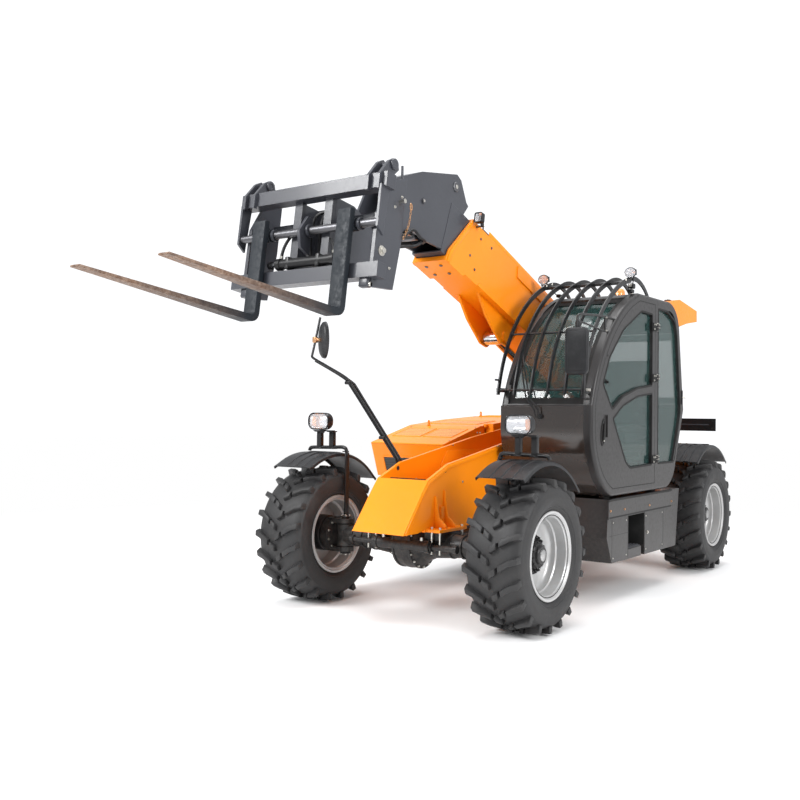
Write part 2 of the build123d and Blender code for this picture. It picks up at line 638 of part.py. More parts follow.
SHANK_U = 502.0
BLADE_V = -541.0
forks = None
for x in (-FORK_X, FORK_X):
    x0, x1 = x - FORK_W / 2, x + FORK_W / 2
    shank = fork_slab([(SHANK_U, 60), (SHANK_U + FORK_T, 50), (SHANK_U + FORK_T, BLADE_V),
                       (SHANK_U + FORK_LENGTH, BLADE_V - FORK_T + FORK_TIP_T),
                       (SHANK_U + FORK_LENGTH, BLADE_V - FORK_T),
                       (SHANK_U + 30, BLADE_V - FORK_T), (SHANK_U, BLADE_V - FORK_T + 30)], x0, x1)
    hook = fork_slab([(SHANK_U - 66, SHAFT_V + 38), (SHANK_U + 10, SHAFT_V + 38), (SHANK_U + 10, SHAFT_V - 36),
                      (SHANK_U - 66, SHAFT_V - 36)], x0, x1)
    fork = shank + hook - fork_rod(SHAFT_U, SHAFT_V, SHAFT_R + FIT, x0 - 5, x1 + 5)
    forks = fork if forks is None else forks + fork
parts["forks"] = forks

# Cab: closed side outline, hollow, windows cut, split at the real joints
front_curve = ThreePointArc((yd(1593), 2351), (yd(1044), 2018), (yd(716), 1468))
cab_edges = [
    front_curve,
    Line((yd(716), 1468), (yd(716), 1300)),
    ThreePointArc((yd(716), 1300), (yd(800), 1025), (yd(1079), SILL_Z)),
    Line((yd(1079), SILL_Z), (yd(2171), SILL_Z)),
    ThreePointArc((yd(2171), SILL_Z), (yd(2350), 870), (yd(2430), 1000)),
    Line((yd(2430), 1000), (yd(2622), 1453)),
    Line((yd(2622), 1453), (yd(2508), 2136)),
    ThreePointArc((yd(2508), 2136), (yd(2425), 2285), (yd(2212), 2351)),
    Line((yd(2212), 2351), (yd(1593), 2351)),
]
cab_face = make_face(cab_edges)


def grown(amount):
    return offset(cab_face, amount=amount, kind=Kind.INTERSECTION)


cab_inner = grown(-CAB_WALL)
CAB_ROUND = 24.0
body = prism(cab_face, CAB_IN, CAB_OUT)
body = fillet(body.faces().sort_by(Axis.X)[-1].edges(), radius=CAB_ROUND)
body = fillet(body.faces().sort_by(Axis.X)[0].edges(), radius=CAB_ROUND)
shell = body - prism(cab_inner, CAB_IN + CAB_WALL, CAB_OUT - CAB_WALL)
FRONT_ZONE = [(500, 1462), (1180, 1462), (1180, 700), (500, 700)]
front_band = (cab_face - cab_inner) & side_face(FRONT_ZONE)
parts["cab_front_panel"] = prism(front_band, CAB_IN, CAB_OUT - CAB_WALL - 22)
cab = shell - prism(front_band, CAB_IN - 1, CAB_OUT - CAB_WALL - 22 + FIT)
WIN_X0 = CAB_IN + 60
WIN_X1 = CAB_OUT - 68
# opening name, outline in d and z
SHELL_WINDOWS = {
    "front": [(500, 1475), (1480, 1475), (1480, 2600), (500, 2600)],
    "roof": [(1560, 2200), (2120, 2200), (2120, 2500), (1560, 2500)],
    "rear": [(2350, 1500), (2800, 1500), (2800, 2110), (2350, 2110)],
}


def shrunk(points, gap):
    return offset(side_face(points), amount=-gap)


glass_band = grown(-16) - grown(-16 - GLASS_T)
glass = None
for points in SHELL_WINDOWS.values():
    cab = cab - slab(points, WIN_X0, WIN_X1)
    pane = prism(glass_band & shrunk(points, FIT), WIN_X0 + FIT, WIN_X1 - FIT)
    glass = pane if glass is None else glass + pane

# cab inner side window and outer quarter window, as flat panes
above_waist = side_face([(400, 1475), (3000, 1475), (3000, 2600), (400, 2600)])
inner_window = grown(-105) & above_waist
cab = cab - prism(inner_window, CAB_IN - 1, CAB_IN + CAB_WALL + 1)
glass = glass + prism(offset(inner_window, amount=-FIT), CAB_IN + 16, CAB_IN + 16 + GLASS_T)
door_zone = side_face([(300, 300), (B_PILLAR_D, 300), (B_PILLAR_D, 3000), (300, 3000)])
door_hole = grown(-DOOR_INSET + DOOR_GAP) & door_zone
cab = cab - prism(door_hole, CAB_OUT - CAB_WALL - 1, CAB_OUT + 1)
quarter_zone = side_face([(B_PILLAR_D + 62, 1010), (3000, 1010), (3000, 3000), (B_PILLAR_D + 62, 3000)])
quarter = grown(-80) & quarter_zone
cab = cab - prism(quarter, CAB_OUT - CAB_WALL - 1, CAB_OUT + 1)
glass = glass + prism(offset(quarter, amount=-FIT), CAB_OUT - 26, CAB_OUT - 26 + GLASS_T)
parts["cab_frame"] = cab
parts["cab_glass"] = glass

door_cut = side_face([(300, 300), (B_PILLAR_D - DOOR_GAP, 300), (B_PILLAR_D - DOOR_GAP, 3000), (300, 3000)])
door_face = grown(-DOOR_INSET) & door_cut
WINDOW_FRONT_D = 905.0
PILLAR_COVER = 65.0
WINDOW_L = B_PILLAR_D - PILLAR_COVER - WINDOW_FRONT_D
DOOR_WINDOWS = [
    # share of the window's length behind its front corner, z
    [(0, 1625), (0.177, 1440), (0.38, 1540), (0.682, 1610), (1, 1640), (1, 2210), (0.766, 2215), (0.38, 2040), (0.12, 1820)],
    [(0.193, 1375), (0.391, 1475), (0.682, 1548), (1, 1578), (1, 1010), (0.536, 1000), (0.443, 1050)],
]
door = prism(door_face, CAB_OUT - CAB_WALL, CAB_OUT)
door_glass = None
for points in DOOR_WINDOWS:
    window = side_face([(WINDOW_FRONT_D + share * WINDOW_L, z) for share, z in points])
    window = fillet(window.vertices(), radius=14)
    door = door - prism(window, CAB_OUT - CAB_WALL - 1, CAB_OUT + 1)
    pane = prism(offset(window, amount=-FIT), CAB_OUT - 26, CAB_OUT - 26 + GLASS_T)
    door_glass = pane if door_glass is None else door_glass + pane
HINGE_X = CAB_OUT + 14
HINGE_D = B_PILLAR_D + 8
parts["door_glass"] = door_glass
# hinge knuckles on the door, pins on the pillar
for z in (1050, 1700, 2110):
    leaf = block(CAB_OUT, CAB_OUT + 10, B_PILLAR_D - 85, B_PILLAR_D - 4, z - 28, z + 28)
    door = door + leaf + rod_z(HINGE_X, HINGE_D, 12, z - 28, z - 2)
    door = door + block(CAB_OUT + 4, CAB_OUT + 10, B_PILLAR_D - 10, HINGE_D, z - 28, z - 2)
    cab = cab + rod_z(HINGE_X, HINGE_D, 12, z + 2, z + 28)
    cab = cab + block(CAB_OUT, CAB_OUT + 12, HINGE_D, HINGE_D + 40, z + 2, z + 28)
handle = block(CAB_OUT, CAB_OUT + 14, 960, 1010, 1240, 1400)
parts["door_frame"] = door + handle
parts["cab_frame"] = cab

# Bars over windscreen and roof
GUARD_XS = [290.0, 424.0, 558.0, 692.0, 826.0, 960.0]
GUARD_BAR_T = 10.0
GUARD_DEPTH = 36.0
guard_edges = [
    ThreePointArc((yd(616), 1500), (yd(852), 2050), (yd(1420), 2447)),
    ThreePointArc((yd(1420), 2447), (yd(1650), 2474), (yd(1880), 2352)),
    Line((yd(1880), 2352), (yd(1880), 1500)),
    Line((yd(1880), 1500), (yd(616), 1500)),
]
guard_region = make_face(guard_edges)
guard_zone = side_face([(300, 1540), (1700, 1540), (1700, 2351 + FIT), (1930, 2351 + FIT), (1930, 2900), (300, 2900)])
guard_face = (guard_region - offset(guard_region, amount=-GUARD_DEPTH)) & guard_zone
guard = None
for x in GUARD_XS:
    bar = prism(guard_face, x - GUARD_BAR_T / 2, x + GUARD_BAR_T / 2)
    guard = bar if guard is None else guard + bar
# round cross rods and the flat cross plate
for d, z in ((650, 1575), (850, 2000)):
    guard = guard + rod_x(d, z, 8, GUARD_XS[0], GUARD_XS[-1])
guard = guard + slab([(1395, 2398), (1395, 2420), (1505, 2446), (1505, 2424)], GUARD_XS[0] - 6, GUARD_XS[-1] + 6)
for x in (GUARD_XS[0], GUARD_XS[-1]):
    guard = guard + (block(x - 14, x + 14, 640, 800, 1560, 1590) - prism(grown(FIT), 0, 2000))
parts["cab_guard"] = guard

# Inside the cab
SEAT_X = 640.0
floor_z = SILL_Z + CAB_WALL
seat_base = block(SEAT_X - 180, SEAT_X + 180, 1700, 2120, floor_z, 1180)
cushion = block(SEAT_X - 240, SEAT_X + 240, 1600, 2130, 1180, 1300)
backrest = slab([(2080, 1300), (2210, 1300), (2330, 1900), (2220, 1900)], SEAT_X - 220, SEAT_X + 220)
parts["seat"] = cushion + backrest + seat_base
PEDESTAL = [(1100, floor_z), (1185, floor_z), (1245, 1190), (1180, 1230), (1060, 1150)]
pedestal = slab(PEDESTAL, SEAT_X - 90, SEAT_X + 90)
column = rod_between((SEAT_X, 1195, 1120), (SEAT_X, 1290, 1500), 42)
WHEEL_TILT_Z = Vector(0, 170, 456)
wheel_plane = Plane(origin=(SEAT_X, yd(1300), 1530), z_dir=WHEEL_TILT_Z)
steering = wheel_plane * Torus(190, 16) + wheel_plane * (Pos(0, 0, -4) * Box(372, 34, 12))
steering = steering + wheel_plane * (Pos(0, 0, -22) * Cylinder(50, 60))
dash_front_d = 716 + CAB_WALL + FIT
cab_dash = slab([(dash_front_d, 1300), (dash_front_d, 1440), (880, 1450), (1000, 1380), (1000, 1300)],
                CAB_IN + CAB_WALL + FIT, CAB_OUT - CAB_WALL - 60)
parts["steering_console"] = cab_dash + pedestal + column + steering

# Step box under the cab
STEP_OUT = 980.0
STEP_IN = 420.0
step = slab([(1035, 500), (1060, 782), (2560, 782), (2480, 300), (1125, 310)], STEP_IN, STEP_OUT)
step = step - slab([(1440, 380), (1440, 640), (1770, 640), (1770, 290), (1700, 290), (1700, 380)], STEP_OUT - 220,
                   STEP_OUT + 10)
for d in ARM_SPOTS:
    step = step - arm_room(d)
# rubber mounts under the cab floor
for x in (STEP_IN + 80, STEP_OUT - 90):
    for d in (1180, 2120):
        step = step + rod_z(x, d, 42, 782, SILL_Z - FIT)
ledge = block(STEP_OUT - 5, CAB_OUT, 1020, 2330, 640, 782)
parts["step_box"] = step + ledge

# Engine side
hood_top = [
    # d, z
    (HOOD_FRONT_D + 101, 878),
    (HOOD_FRONT_D, 1156),
    (1353, 1296),
    (1833, 1340),
    (2360, 1372),
    (HOOD_REAR_D, 1385),
    (HOOD_REAR_D, 878),
]
hood_face = side_face(hood_top)
hood = prism(hood_face, HOOD_OUT, HOOD_IN)
# open underneath and towards the chassis, so that it can lift about its inner top edge
hood_hollow = prism(offset(hood_face, amount=-HOOD_T, kind=Kind.INTERSECTION), HOOD_OUT + HOOD_T, HOOD_IN + 1)
hood = hood - hood_hollow - block(HOOD_OUT + HOOD_T, HOOD_IN + 1, 902, HOOD_REAR_D - HOOD_T, 870, 900)
HOOD_KNUCKLE_R = 15.0
for t in HOOD_HINGES:
    d = HOOD_AXIS_D + t
    hood = hood - block(HOOD_IN - 20, HOOD_IN + 20, d - 16, d + 16, 1000, 1500)
    for a, b in ((t - HOOD_PIN_HALF, t - 16), (t + 16, t + HOOD_PIN_HALF)):
        hood = hood + hood_axis_rod(HOOD_KNUCKLE_R, a, b)
    hood = hood - hood_axis_rod(HOOD_PIN_R + FIT, t - HOOD_PIN_HALF - 1, t + HOOD_PIN_HALF + 1)
parts["engine_hood"] = hood
POD_IN = -330.0
parts["engine_block"] = block(-820, -400, 1250, 2250, 730 + FIT, 1230)
pod = block(-980, POD_IN, 1060, 2520, 420, 878 - FIT)
for d in ARM_SPOTS:
    pod = pod - mirror_x(arm_room(d))
pod = pod - block(-960, POD_IN - 20, 1090, 2490, 730, 900)
parts["engine_pod"] = pod

# Rear end
# counterweight narrows rearward, clear of the steered wheels
WEIGHT_PLAN = [
    # half width, d
    (470, FRAME_REAR_D + FIT),
    (330, FRAME_REAR_D + 220),
    (330, FRAME_REAR_D + 400),
]
weight_edge = [(x, yd(d)) for x, d in WEIGHT_PLAN] + [(-x, yd(d)) for x, d in reversed(WEIGHT_PLAN)]
weight = extrude(Plane.XY.offset(640) * make_face(Polyline(*weight_edge, close=True)), amount=540)
parts["counterweight"] = weight
parts["tail_plate"] = block(-1000, 1000, FRAME_REAR_D + FIT, FRAME_REAR_D + 12, 1262, 1380)

# Fenders
front_band_face = arc_band(0, HUB_Z, FRONT_FENDER_R - FENDER_T, FRONT_FENDER_R, 40, 124)
rear_band_face = arc_band(REAR_D, HUB_Z, REAR_FENDER_R - FENDER_T, REAR_FENDER_R, 47, 130)
LIP_H = 28.0
LIP_T = 5.0
front_lip = arc_band(0, HUB_Z, FRONT_FENDER_R - LIP_H, FRONT_FENDER_R, 40, 124)
rear_lip = arc_band(REAR_D, HUB_Z, REAR_FENDER_R - LIP_H, REAR_FENDER_R, 47, 130)


def make_fender(face, lip):
    skin = prism(face, FENDER_W_IN, FENDER_W_OUT)
    for x in (FENDER_W_IN, FENDER_W_OUT - LIP_T):
        skin = skin + prism(lip, x, x + LIP_T)
    return skin


for name, side, d in CORNERS:
    if name[0] == "f":
        fender = make_fender(front_band_face, front_lip)
        stay = block(STAY_X, STAY_X + 16, 20, 62, HUB_Z + AXLE_BOSS_H / 2 + ARM_GAP + ARM_T + FIT, 1120)
        fender = fender + stay
        top_z = HUB_Z + FRONT_FENDER_R
        rail = block(STAY_X, 930, 20, 62, top_z - 8, top_z + 22)
        post = block(780, 800, 30, 52, top_z, 1270)
        post2 = block(900, 920, 30, 52, top_z, 1270)
        bar = block(780, 920, -20, 52, 1250, 1264)
        fender = fender + rail + post + post2 + bar
        lamp = block(741, 941, -70, 23, 1264 + FIT, 1394)
        if side < 0:
            fender = mirror_x(fender)
            lamp = mirror_x(lamp)
        parts["fender_" + name] = fender
        parts["headlamp_" + name] = lamp
    else:
        fender = make_fender(rear_band_face, rear_lip)
        fender = fender - block(FENDER_W_IN - 1, FENDER_W_IN + LIP_T + 1, REAR_D - REAR_ARM_HALF - FIT,
                                REAR_D + REAR_ARM_HALF + FIT, REAR_ARM_Z - 60, REAR_ARM_Z)
        if side < 0:
            fender = mirror_x(fender)
        parts["fender_" + name] = fender

# Mirrors and lamps
mirror_arm = tube_path([(975, 1190, 2152), (980, 900, 2120), (980, 520, 2060), (980, 508, 1900)], 30, 9)
mirror_arm = mirror_arm - prism(grown(FIT), 0, 2000)
parts["wing_mirror"] = mirror_arm + block(895, 1065, 480, 530, 1670, 2000)
STALK_R = 11.0
MIRROR_X = -705.0
stalk_x = -PLATE_IN - PLATE_T - STALK_R - FIT
stalk = tube_path([(stalk_x, 140, 960), (stalk_x, 110, 1060), (-520, -117, 1647), (MIRROR_X, -306, 1786),
                   (MIRROR_X, -219, 2088)], 30, STALK_R)
stalk = stalk + rod_between((MIRROR_X, -268, 1919), (MIRROR_X + 40, -230, 1919), 12)
mirror_face = Plane(origin=(MIRROR_X + 40, yd(-230), 1919), x_dir=(0, 0, 1), z_dir=(0.51, 0.86, 0)) * Ellipse(135, 85)
parts["round_mirror"] = stalk + extrude(mirror_face, amount=22, both=True)
visor = slab([(2560, 2170), (2260, 2352), (2560, 2402), (3010, 2345), (3012, 2249), (2740, 2210)], 330, 978)
parts["roof_visor"] = visor - prism(grown(FIT), 0, 2000)
lamps = block(230, 300, 1380, 1440, 2442, 2530) + block(940, 1010, 1440, 1500, 2450, 2540)
lamps = lamps - prism(offset(guard_region, amount=FIT), 0, 2000)
parts["work_lamps"] = lamps

if __name__ == "__main__":
    os.makedirs("parts", exist_ok=True)
    for name, shape in parts.items():
        export_step(shape, "parts/" + name + ".step")
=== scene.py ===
from math import atan2, cos, hypot, pi, radians, sin

import bmesh
import bpy
from mathutils import Matrix, Vector


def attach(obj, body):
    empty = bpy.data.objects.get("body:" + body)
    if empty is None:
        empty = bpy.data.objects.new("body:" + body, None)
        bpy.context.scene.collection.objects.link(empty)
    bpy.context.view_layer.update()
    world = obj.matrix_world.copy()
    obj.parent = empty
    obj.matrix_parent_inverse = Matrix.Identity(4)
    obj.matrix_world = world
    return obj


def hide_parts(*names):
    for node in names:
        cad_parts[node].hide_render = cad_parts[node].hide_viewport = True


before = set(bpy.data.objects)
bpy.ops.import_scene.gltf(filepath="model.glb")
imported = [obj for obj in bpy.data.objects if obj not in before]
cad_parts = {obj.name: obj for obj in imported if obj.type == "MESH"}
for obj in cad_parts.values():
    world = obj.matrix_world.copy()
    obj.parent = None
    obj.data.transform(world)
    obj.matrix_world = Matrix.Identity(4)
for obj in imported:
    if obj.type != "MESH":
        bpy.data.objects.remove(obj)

bl_info = {
    "name": "Telehandler dressing",
    "version": (1, 0, 0),
    "blender": (4, 5, 0),
    "location": "View3D > Sidebar > Telehandler",
    "description": "Dresses the telehandler's frame with tyres, glass, lamps, hoses, fittings and paint",
    "category": "Object",
}

# Places are written as x, d, z in millimetres: d runs rearward from the front axle, z from the ground
FRONT_AXLE_Y = -672.0
WHEELBASE = 3295.0
TRACK_HALF = 874.0
HUB_Z = 500.0
BOOM_PIVOT = (3200.0, 1593.0)
BOOM_ANGLE = 20.5
TILT_PIN = (-700.0, 2440.0)
LIFT_BASE, LIFT_EYE = (3100.0, 1140.0), (1073.9, 2005.7)
TILT_BASE, TILT_EYE = (300.0, 3030.0), (-780.0, 2578.6)
CARRIAGE_TILT = 8.05
FORK_SHAFT = (470.0, -25.0)
FORK_X = 335
SEAT_X = 640
FRAME_SIDE = 212
REAR_FACE = 3500.0
CORNERS = (("fl", 1, 0.0), ("fr", -1, 0.0), ("rl", 1, WHEELBASE), ("rr", -1, WHEELBASE))


def at(x, d, z):
    """Point in metres for a place in millimetres."""
    return Vector((x, FRONT_AXLE_Y + d, z)) / 1000


def tilted(pivot, angle):
    """Point maker on a member that climbs forward: u forward along it, v square to it, x across."""
    c, s = cos(radians(angle)), sin(radians(angle))

    def place(x, u, v):
        return at(x, pivot[0] - u * c + v * s, pivot[1] + u * s + v * c)

    return place


boom_at = tilted(BOOM_PIVOT, BOOM_ANGLE)
fork_at = tilted(TILT_PIN, CARRIAGE_TILT)


ACROSS, REARWARD, UP = Vector((1, 0, 0)), Vector((0, 1, 0)), Vector((0, 0, 1))
FINISHES = {}


# mesh helpers


def round_off(bm, edges, radius, segments):
    """Rounds edges by a radius in metres."""
    bmesh.ops.bevel(bm, geom=edges, offset=radius, segments=segments, profile=0.5, affect="EDGES",
                    clamp_overlap=True, material=-1)


def carry(mesh, name, body, finishes, smooth):
    """Makes a mesh a piece of the scene that rides on a body; the floor rides on none."""
    for finish_name in finishes:
        mesh.materials.append(FINISHES[finish_name])
    obj = bpy.data.objects.new(name, mesh)
    bpy.context.scene.collection.objects.link(obj)
    for polygon in mesh.polygons:
        polygon.use_smooth = True
    mesh.set_sharp_from_angle(angle=radians(smooth))
    if body:
        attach(obj, body)
    return obj


def finish(bm, name, body, *finishes, smooth=35.0, flip=True, bevel=0.0, segments=2):
    """Turns a bmesh into a finished piece with named finishes."""
    bmesh.ops.remove_doubles(bm, verts=bm.verts, dist=1e-6)
    if bevel:
        sharp = [e for e in bm.edges if len(e.link_faces) == 2 and e.calc_face_angle(0) > radians(28)]
        round_off(bm, sharp, bevel, segments)
    if flip:
        bmesh.ops.recalc_face_normals(bm, faces=bm.faces)
    mesh = bpy.data.meshes.new(name)
    bm.to_mesh(mesh)
    bm.free()
    return carry(mesh, name, body, finishes, smooth)


def paint(verts, index):
    """Gives the faces round some vertices one of the piece's finishes."""
    for vert in verts:
        for face in vert.link_faces:
            face.material_index = index


def bar(bm, a, b, r, segments=20, r2=None, material=0):
    """Round bar or cone between two points."""
    way = b - a
    turn = way.to_track_quat("Z", "Y").to_matrix().to_4x4()
    made = bmesh.ops.create_cone(bm, cap_ends=True, segments=segments, radius1=r / 1000,
                                 radius2=(r if r2 is None else r2) / 1000, depth=way.length,
                                 matrix=Matrix.Translation((a + b) / 2) @ turn)
    paint(made["verts"], material)


def chain_of_bars(bm, line, r, segments, material=0):
    """Round bars from point to point along a line."""
    for a, b in zip(line, line[1:]):
        bar(bm, a, b, r, segments, material=material)


def brick(bm, size, centre, turn=None, material=0):
    """Box of a size in millimetres, its centre in metres, turned by a matrix."""
    stretch = Matrix.Diagonal((*(s / 1000 for s in size), 1))
    matrix = Matrix.Translation(centre) @ (turn.to_4x4() if turn else Matrix()) @ stretch
    made = bmesh.ops.create_cube(bm, size=1.0, matrix=matrix)
    paint(made["verts"], material)


def plate(bm, outline, thickness, material=0):
    """Flat plate: its outline's points in metres, pushed by a vector. Returns its corners."""
    face = bm.faces.new([bm.verts.new(p) for p in outline])
    made = bmesh.ops.extrude_face_region(bm, geom=[face], use_keep_orig=True)
    moved = [g for g in made["geom"] if isinstance(g, bmesh.types.BMVert)]
    bmesh.ops.translate(bm, verts=moved, vec=thickness)
    corners = moved + list(face.verts)
    paint(corners, material)
    return corners


def turned(bm, profile, centre, axis=ACROSS, steps=48, material=0, closed=True):
    """Ring or disc turned from a profile of (place along the axis, radius) in millimetres."""
    before = set(bm.faces)
    side = axis.orthogonal().normalized()
    verts = [bm.verts.new(centre + axis * (x / 1000) + side * (r / 1000)) for x, r in profile]
    pairs = list(zip(verts, verts[1:])) + ([(verts[-1], verts[0])] if closed else [])
    edges = [bm.edges.new(pair) for pair in pairs]
    bmesh.ops.spin(bm, geom=verts + edges, cent=centre, axis=axis, angle=2 * pi, steps=steps, use_merge=True)
    for face in set(bm.faces) - before:
        face.material_index = material


def pipe(points, radius, name, body, finish_name, resolution=8):
    """Hose or bent tube along a smooth line through a few points."""
    curve = bpy.data.curves.new(name, "CURVE")
    curve.dimensions = "3D"
    curve.bevel_depth = radius / 1000
    curve.bevel_resolution = 3
    curve.use_fill_caps = True
    curve.resolution_u = resolution
    spline = curve.splines.new("NURBS")
    spline.points.add(len(points) - 1)
    for target, p in zip(spline.points, points):
        target.co = (*p, 1)
    spline.use_endpoint_u = True
    spline.order_u = 3
    holder = bpy.data.objects.new(name + "_line", curve)
    bpy.context.scene.collection.objects.link(holder)
    bpy.context.view_layer.update()
    mesh = bpy.data.meshes.new_from_object(holder.evaluated_get(bpy.context.evaluated_depsgraph_get()))
    bpy.data.objects.remove(holder)
    bpy.data.curves.remove(curve)
    mesh.name = name
    mesh.materials.clear()
    return carry(mesh, name, body, (finish_name,), 50)


def hexagon_head(bm, centre, axis, across, height, material=0):
    """Bolt head with its washer."""
    seat, top = centre + axis * (height * 0.25 / 1000), centre + axis * (height / 1000)
    bar(bm, centre, seat, across * 0.66, 16, material=material)
    bar(bm, seat, top, across * 0.56, 6, material=material)


def around(count, r, start=0.0):
    """Places evenly round a circle, the first at an angle."""
    angles = [start + 2 * pi * i / count for i in range(count)]
    return [(r * cos(a), r * sin(a)) for a in angles]


def lean(angle):
    """Turn about the cross axis by degrees; forward over is positive."""
    return Matrix.Rotation(radians(angle), 3, "X")


def rounded_block(bm, size, centre, radius, segments=4, turn=None, material=0):
    """Box with all edges rounded."""
    part = bmesh.new()
    brick(part, size, Vector())
    round_off(part, part.edges[:], radius / 1000, segments)
    add(bm, part, Matrix.Translation(centre) @ (turn.to_4x4() if turn else Matrix()), material)


def add(bm, part, matrix=None, material=None):
    """Moves a finished part mesh into a piece."""
    if matrix is not None:
        bmesh.ops.transform(part, matrix=matrix, verts=part.verts)
        if matrix.determinant() < 0:
            bmesh.ops.reverse_faces(part, faces=part.faces)
    if material is not None:
        for f in part.faces:
            f.material_index = material
    mesh = bpy.data.meshes.new("part")
    part.to_mesh(mesh)
    part.free()
    bm.from_mesh(mesh)
    bpy.data.meshes.remove(mesh)


# materials


def node(tree, kind, **settings):
    made = tree.nodes.new(kind)
    for key, value in settings.items():
        setattr(made, key, value)
    return made


def feed(tree, owner, **values):
    """Wires a socket, or sets a plain number or colour, at each named input; an underscore stands for a space."""
    for key, value in values.items():
        target = owner.inputs[key.replace("_", " ")]
        if isinstance(value, bpy.types.NodeSocket):
            tree.links.new(value, target)
        else:
            target.default_value = value


def texture(tree, coords, kind, scale, **settings):
    """Texture of a kind on the object's own coordinates."""
    made = node(tree, "ShaderNodeTex" + kind, **settings)
    feed(tree, made, Vector=coords, Scale=scale)
    return made


def noise(tree, coords, scale, detail=4.0, rough=0.55):
    """Cloudy noise."""
    made = texture(tree, coords, "Noise", scale)
    feed(tree, made, Detail=detail, Roughness=rough)
    return made.outputs["Fac"]


def remap(tree, value, low, high, to_low=0.0, to_high=1.0):
    """Stretches a value's range to another, held at its ends."""
    made = node(tree, "ShaderNodeMapRange", clamp=True)
    feed(tree, made, Value=value, From_Min=low, From_Max=high, To_Min=to_low, To_Max=to_high)
    return made.outputs["Result"]


def combine(tree, operation, a, b):
    """Sum, product or the like of two values, the second a socket or a number."""
    made = node(tree, "ShaderNodeMath", operation=operation)
    tree.links.new(a, made.inputs[0])
    if isinstance(b, bpy.types.NodeSocket):
        tree.links.new(b, made.inputs[1])
    else:
        made.inputs[1].default_value = b
    return made.outputs[0]


def blend(tree, factor, a, b):
    """Mixes two colours, each a socket or a plain colour."""
    made = node(tree, "ShaderNodeMix", data_type="RGBA")
    tree.links.new(factor, made.inputs["Factor"])
    for place, value in ((6, a), (7, b)):
        if isinstance(value, bpy.types.NodeSocket):
            tree.links.new(value, made.inputs[place])
        else:
            made.inputs[place].default_value = (*value, 1.0)
    return made.outputs[2]


def new_surface(name):
    """Empty material with a shader and object coordinates."""
    material = bpy.data.materials.new(name)
    material.use_nodes = True
    tree = material.node_tree
    shader = tree.nodes["Principled BSDF"]
    coords = node(tree, "ShaderNodeTexCoord").outputs["Object"]
    return material, tree, shader, coords


def bumpy(tree, shader, height, strength, distance=0.001, edge=0.0):
    """Bump from a height, over softened edges where asked."""
    made = node(tree, "ShaderNodeBump")
    feed(tree, made, Strength=strength, Distance=distance, Height=height)
    if edge:
        soft = node(tree, "ShaderNodeBevel", samples=4)
        feed(tree, soft, Radius=edge)
        feed(tree, made, Normal=soft.outputs["Normal"])
    feed(tree, shader, Normal=made.outputs["Normal"])


def part_of(tree, vector, axis):
    """One part of a vector, by the letter of its axis."""
    parts = node(tree, "ShaderNodeSeparateXYZ")
    feed(tree, parts, Vector=vector)
    return parts.outputs[axis]


def coated_paint(name, color, dark, roughness, coat, dust=0.12, edge=0.004, metallic=0.0):
    """Sprayed machine paint: soft mottling, orange peel, a little dust where it looks up and low down."""
    material, tree, shader, coords = new_surface(name)
    base = blend(tree, remap(tree, noise(tree, coords, 2.2, 5.0), 0.35, 0.7), color, dark)
    fine = remap(tree, noise(tree, coords, 38.0, 6.0, 0.7), 0.42, 0.72)
    low = remap(tree, part_of(tree, coords, "Z"), 1.1, 0.3)
    upward = part_of(tree, node(tree, "ShaderNodeNewGeometry").outputs["Normal"], "Z")
    where = combine(tree, "MAXIMUM", low, remap(tree, upward, 0.55, 1.0))
    amount = combine(tree, "MULTIPLY", combine(tree, "MULTIPLY", where, fine), dust)
    feed(tree, shader, Base_Color=blend(tree, amount, base, (0.42, 0.37, 0.31)),
         Roughness=remap(tree, fine, 0.0, 1.0, roughness - 0.05, roughness + 0.1),
         Metallic=metallic, Specular_IOR_Level=0.3, Coat_Weight=coat, Coat_Roughness=0.12)
    bumpy(tree, shader, noise(tree, coords, 260.0, 2.0), 0.05, 0.0006, edge)
    return material


def moulded(name, color, roughness=0.55, grain=420.0, strength=0.25):
    """Grained plastic moulding."""
    material, tree, shader, coords = new_surface(name)
    cells = texture(tree, coords, "Voronoi", grain)
    scuffs = remap(tree, noise(tree, coords, 9.0, 6.0, 0.65), 0.45, 0.75)
    lighter = tuple(min(1.0, c * 1.6 + 0.008) for c in color)
    feed(tree, shader, Base_Color=blend(tree, scuffs, color, lighter),
         Roughness=remap(tree, scuffs, 0.0, 1.0, roughness - 0.08, roughness + 0.12), Specular_IOR_Level=0.28)
    bumpy(tree, shader, cells.outputs["Distance"], strength, 0.0004, 0.002)
    return material


def bare_metal(name, color, roughness=0.28, scratch=0.12):
    """Turned or forged metal with fine marks."""
    material, tree, shader, coords = new_surface(name)
    marks = noise(tree, coords, 90.0, 6.0, 0.7)
    patches = remap(tree, noise(tree, coords, 7.0, 5.0), 0.4, 0.75)
    feed(tree, shader, Base_Color=blend(tree, patches, color, tuple(c * 0.75 for c in color)),
         Roughness=remap(tree, marks, 0.3, 0.75, roughness - 0.08, roughness + 0.18), Metallic=1.0)
    bumpy(tree, shader, marks, scratch, 0.0005, 0.001)
    return material


def tyre_rubber(name):
    """Black rubber, greyer and dusty on the lugs and in the grooves."""
    material, tree, shader, coords = new_surface(name)
    cloud = remap(tree, noise(tree, coords, 6.0, 8.0, 0.7), 0.38, 0.72)
    speck = remap(tree, noise(tree, coords, 60.0, 6.0, 0.75), 0.5, 0.78)
    base = blend(tree, cloud, (0.011, 0.011, 0.012), (0.024, 0.023, 0.023))
    dusty = remap(tree, combine(tree, "MULTIPLY", speck, cloud), 0.0, 1.0, 0.0, 0.22)
    feed(tree, shader, Base_Color=blend(tree, dusty, base, (0.14, 0.13, 0.118)),
         Roughness=remap(tree, cloud, 0.0, 1.0, 0.5, 0.72))
    bumpy(tree, shader, noise(tree, coords, 140.0, 5.0, 0.65), 0.3, 0.0012, 0.002)
    return material


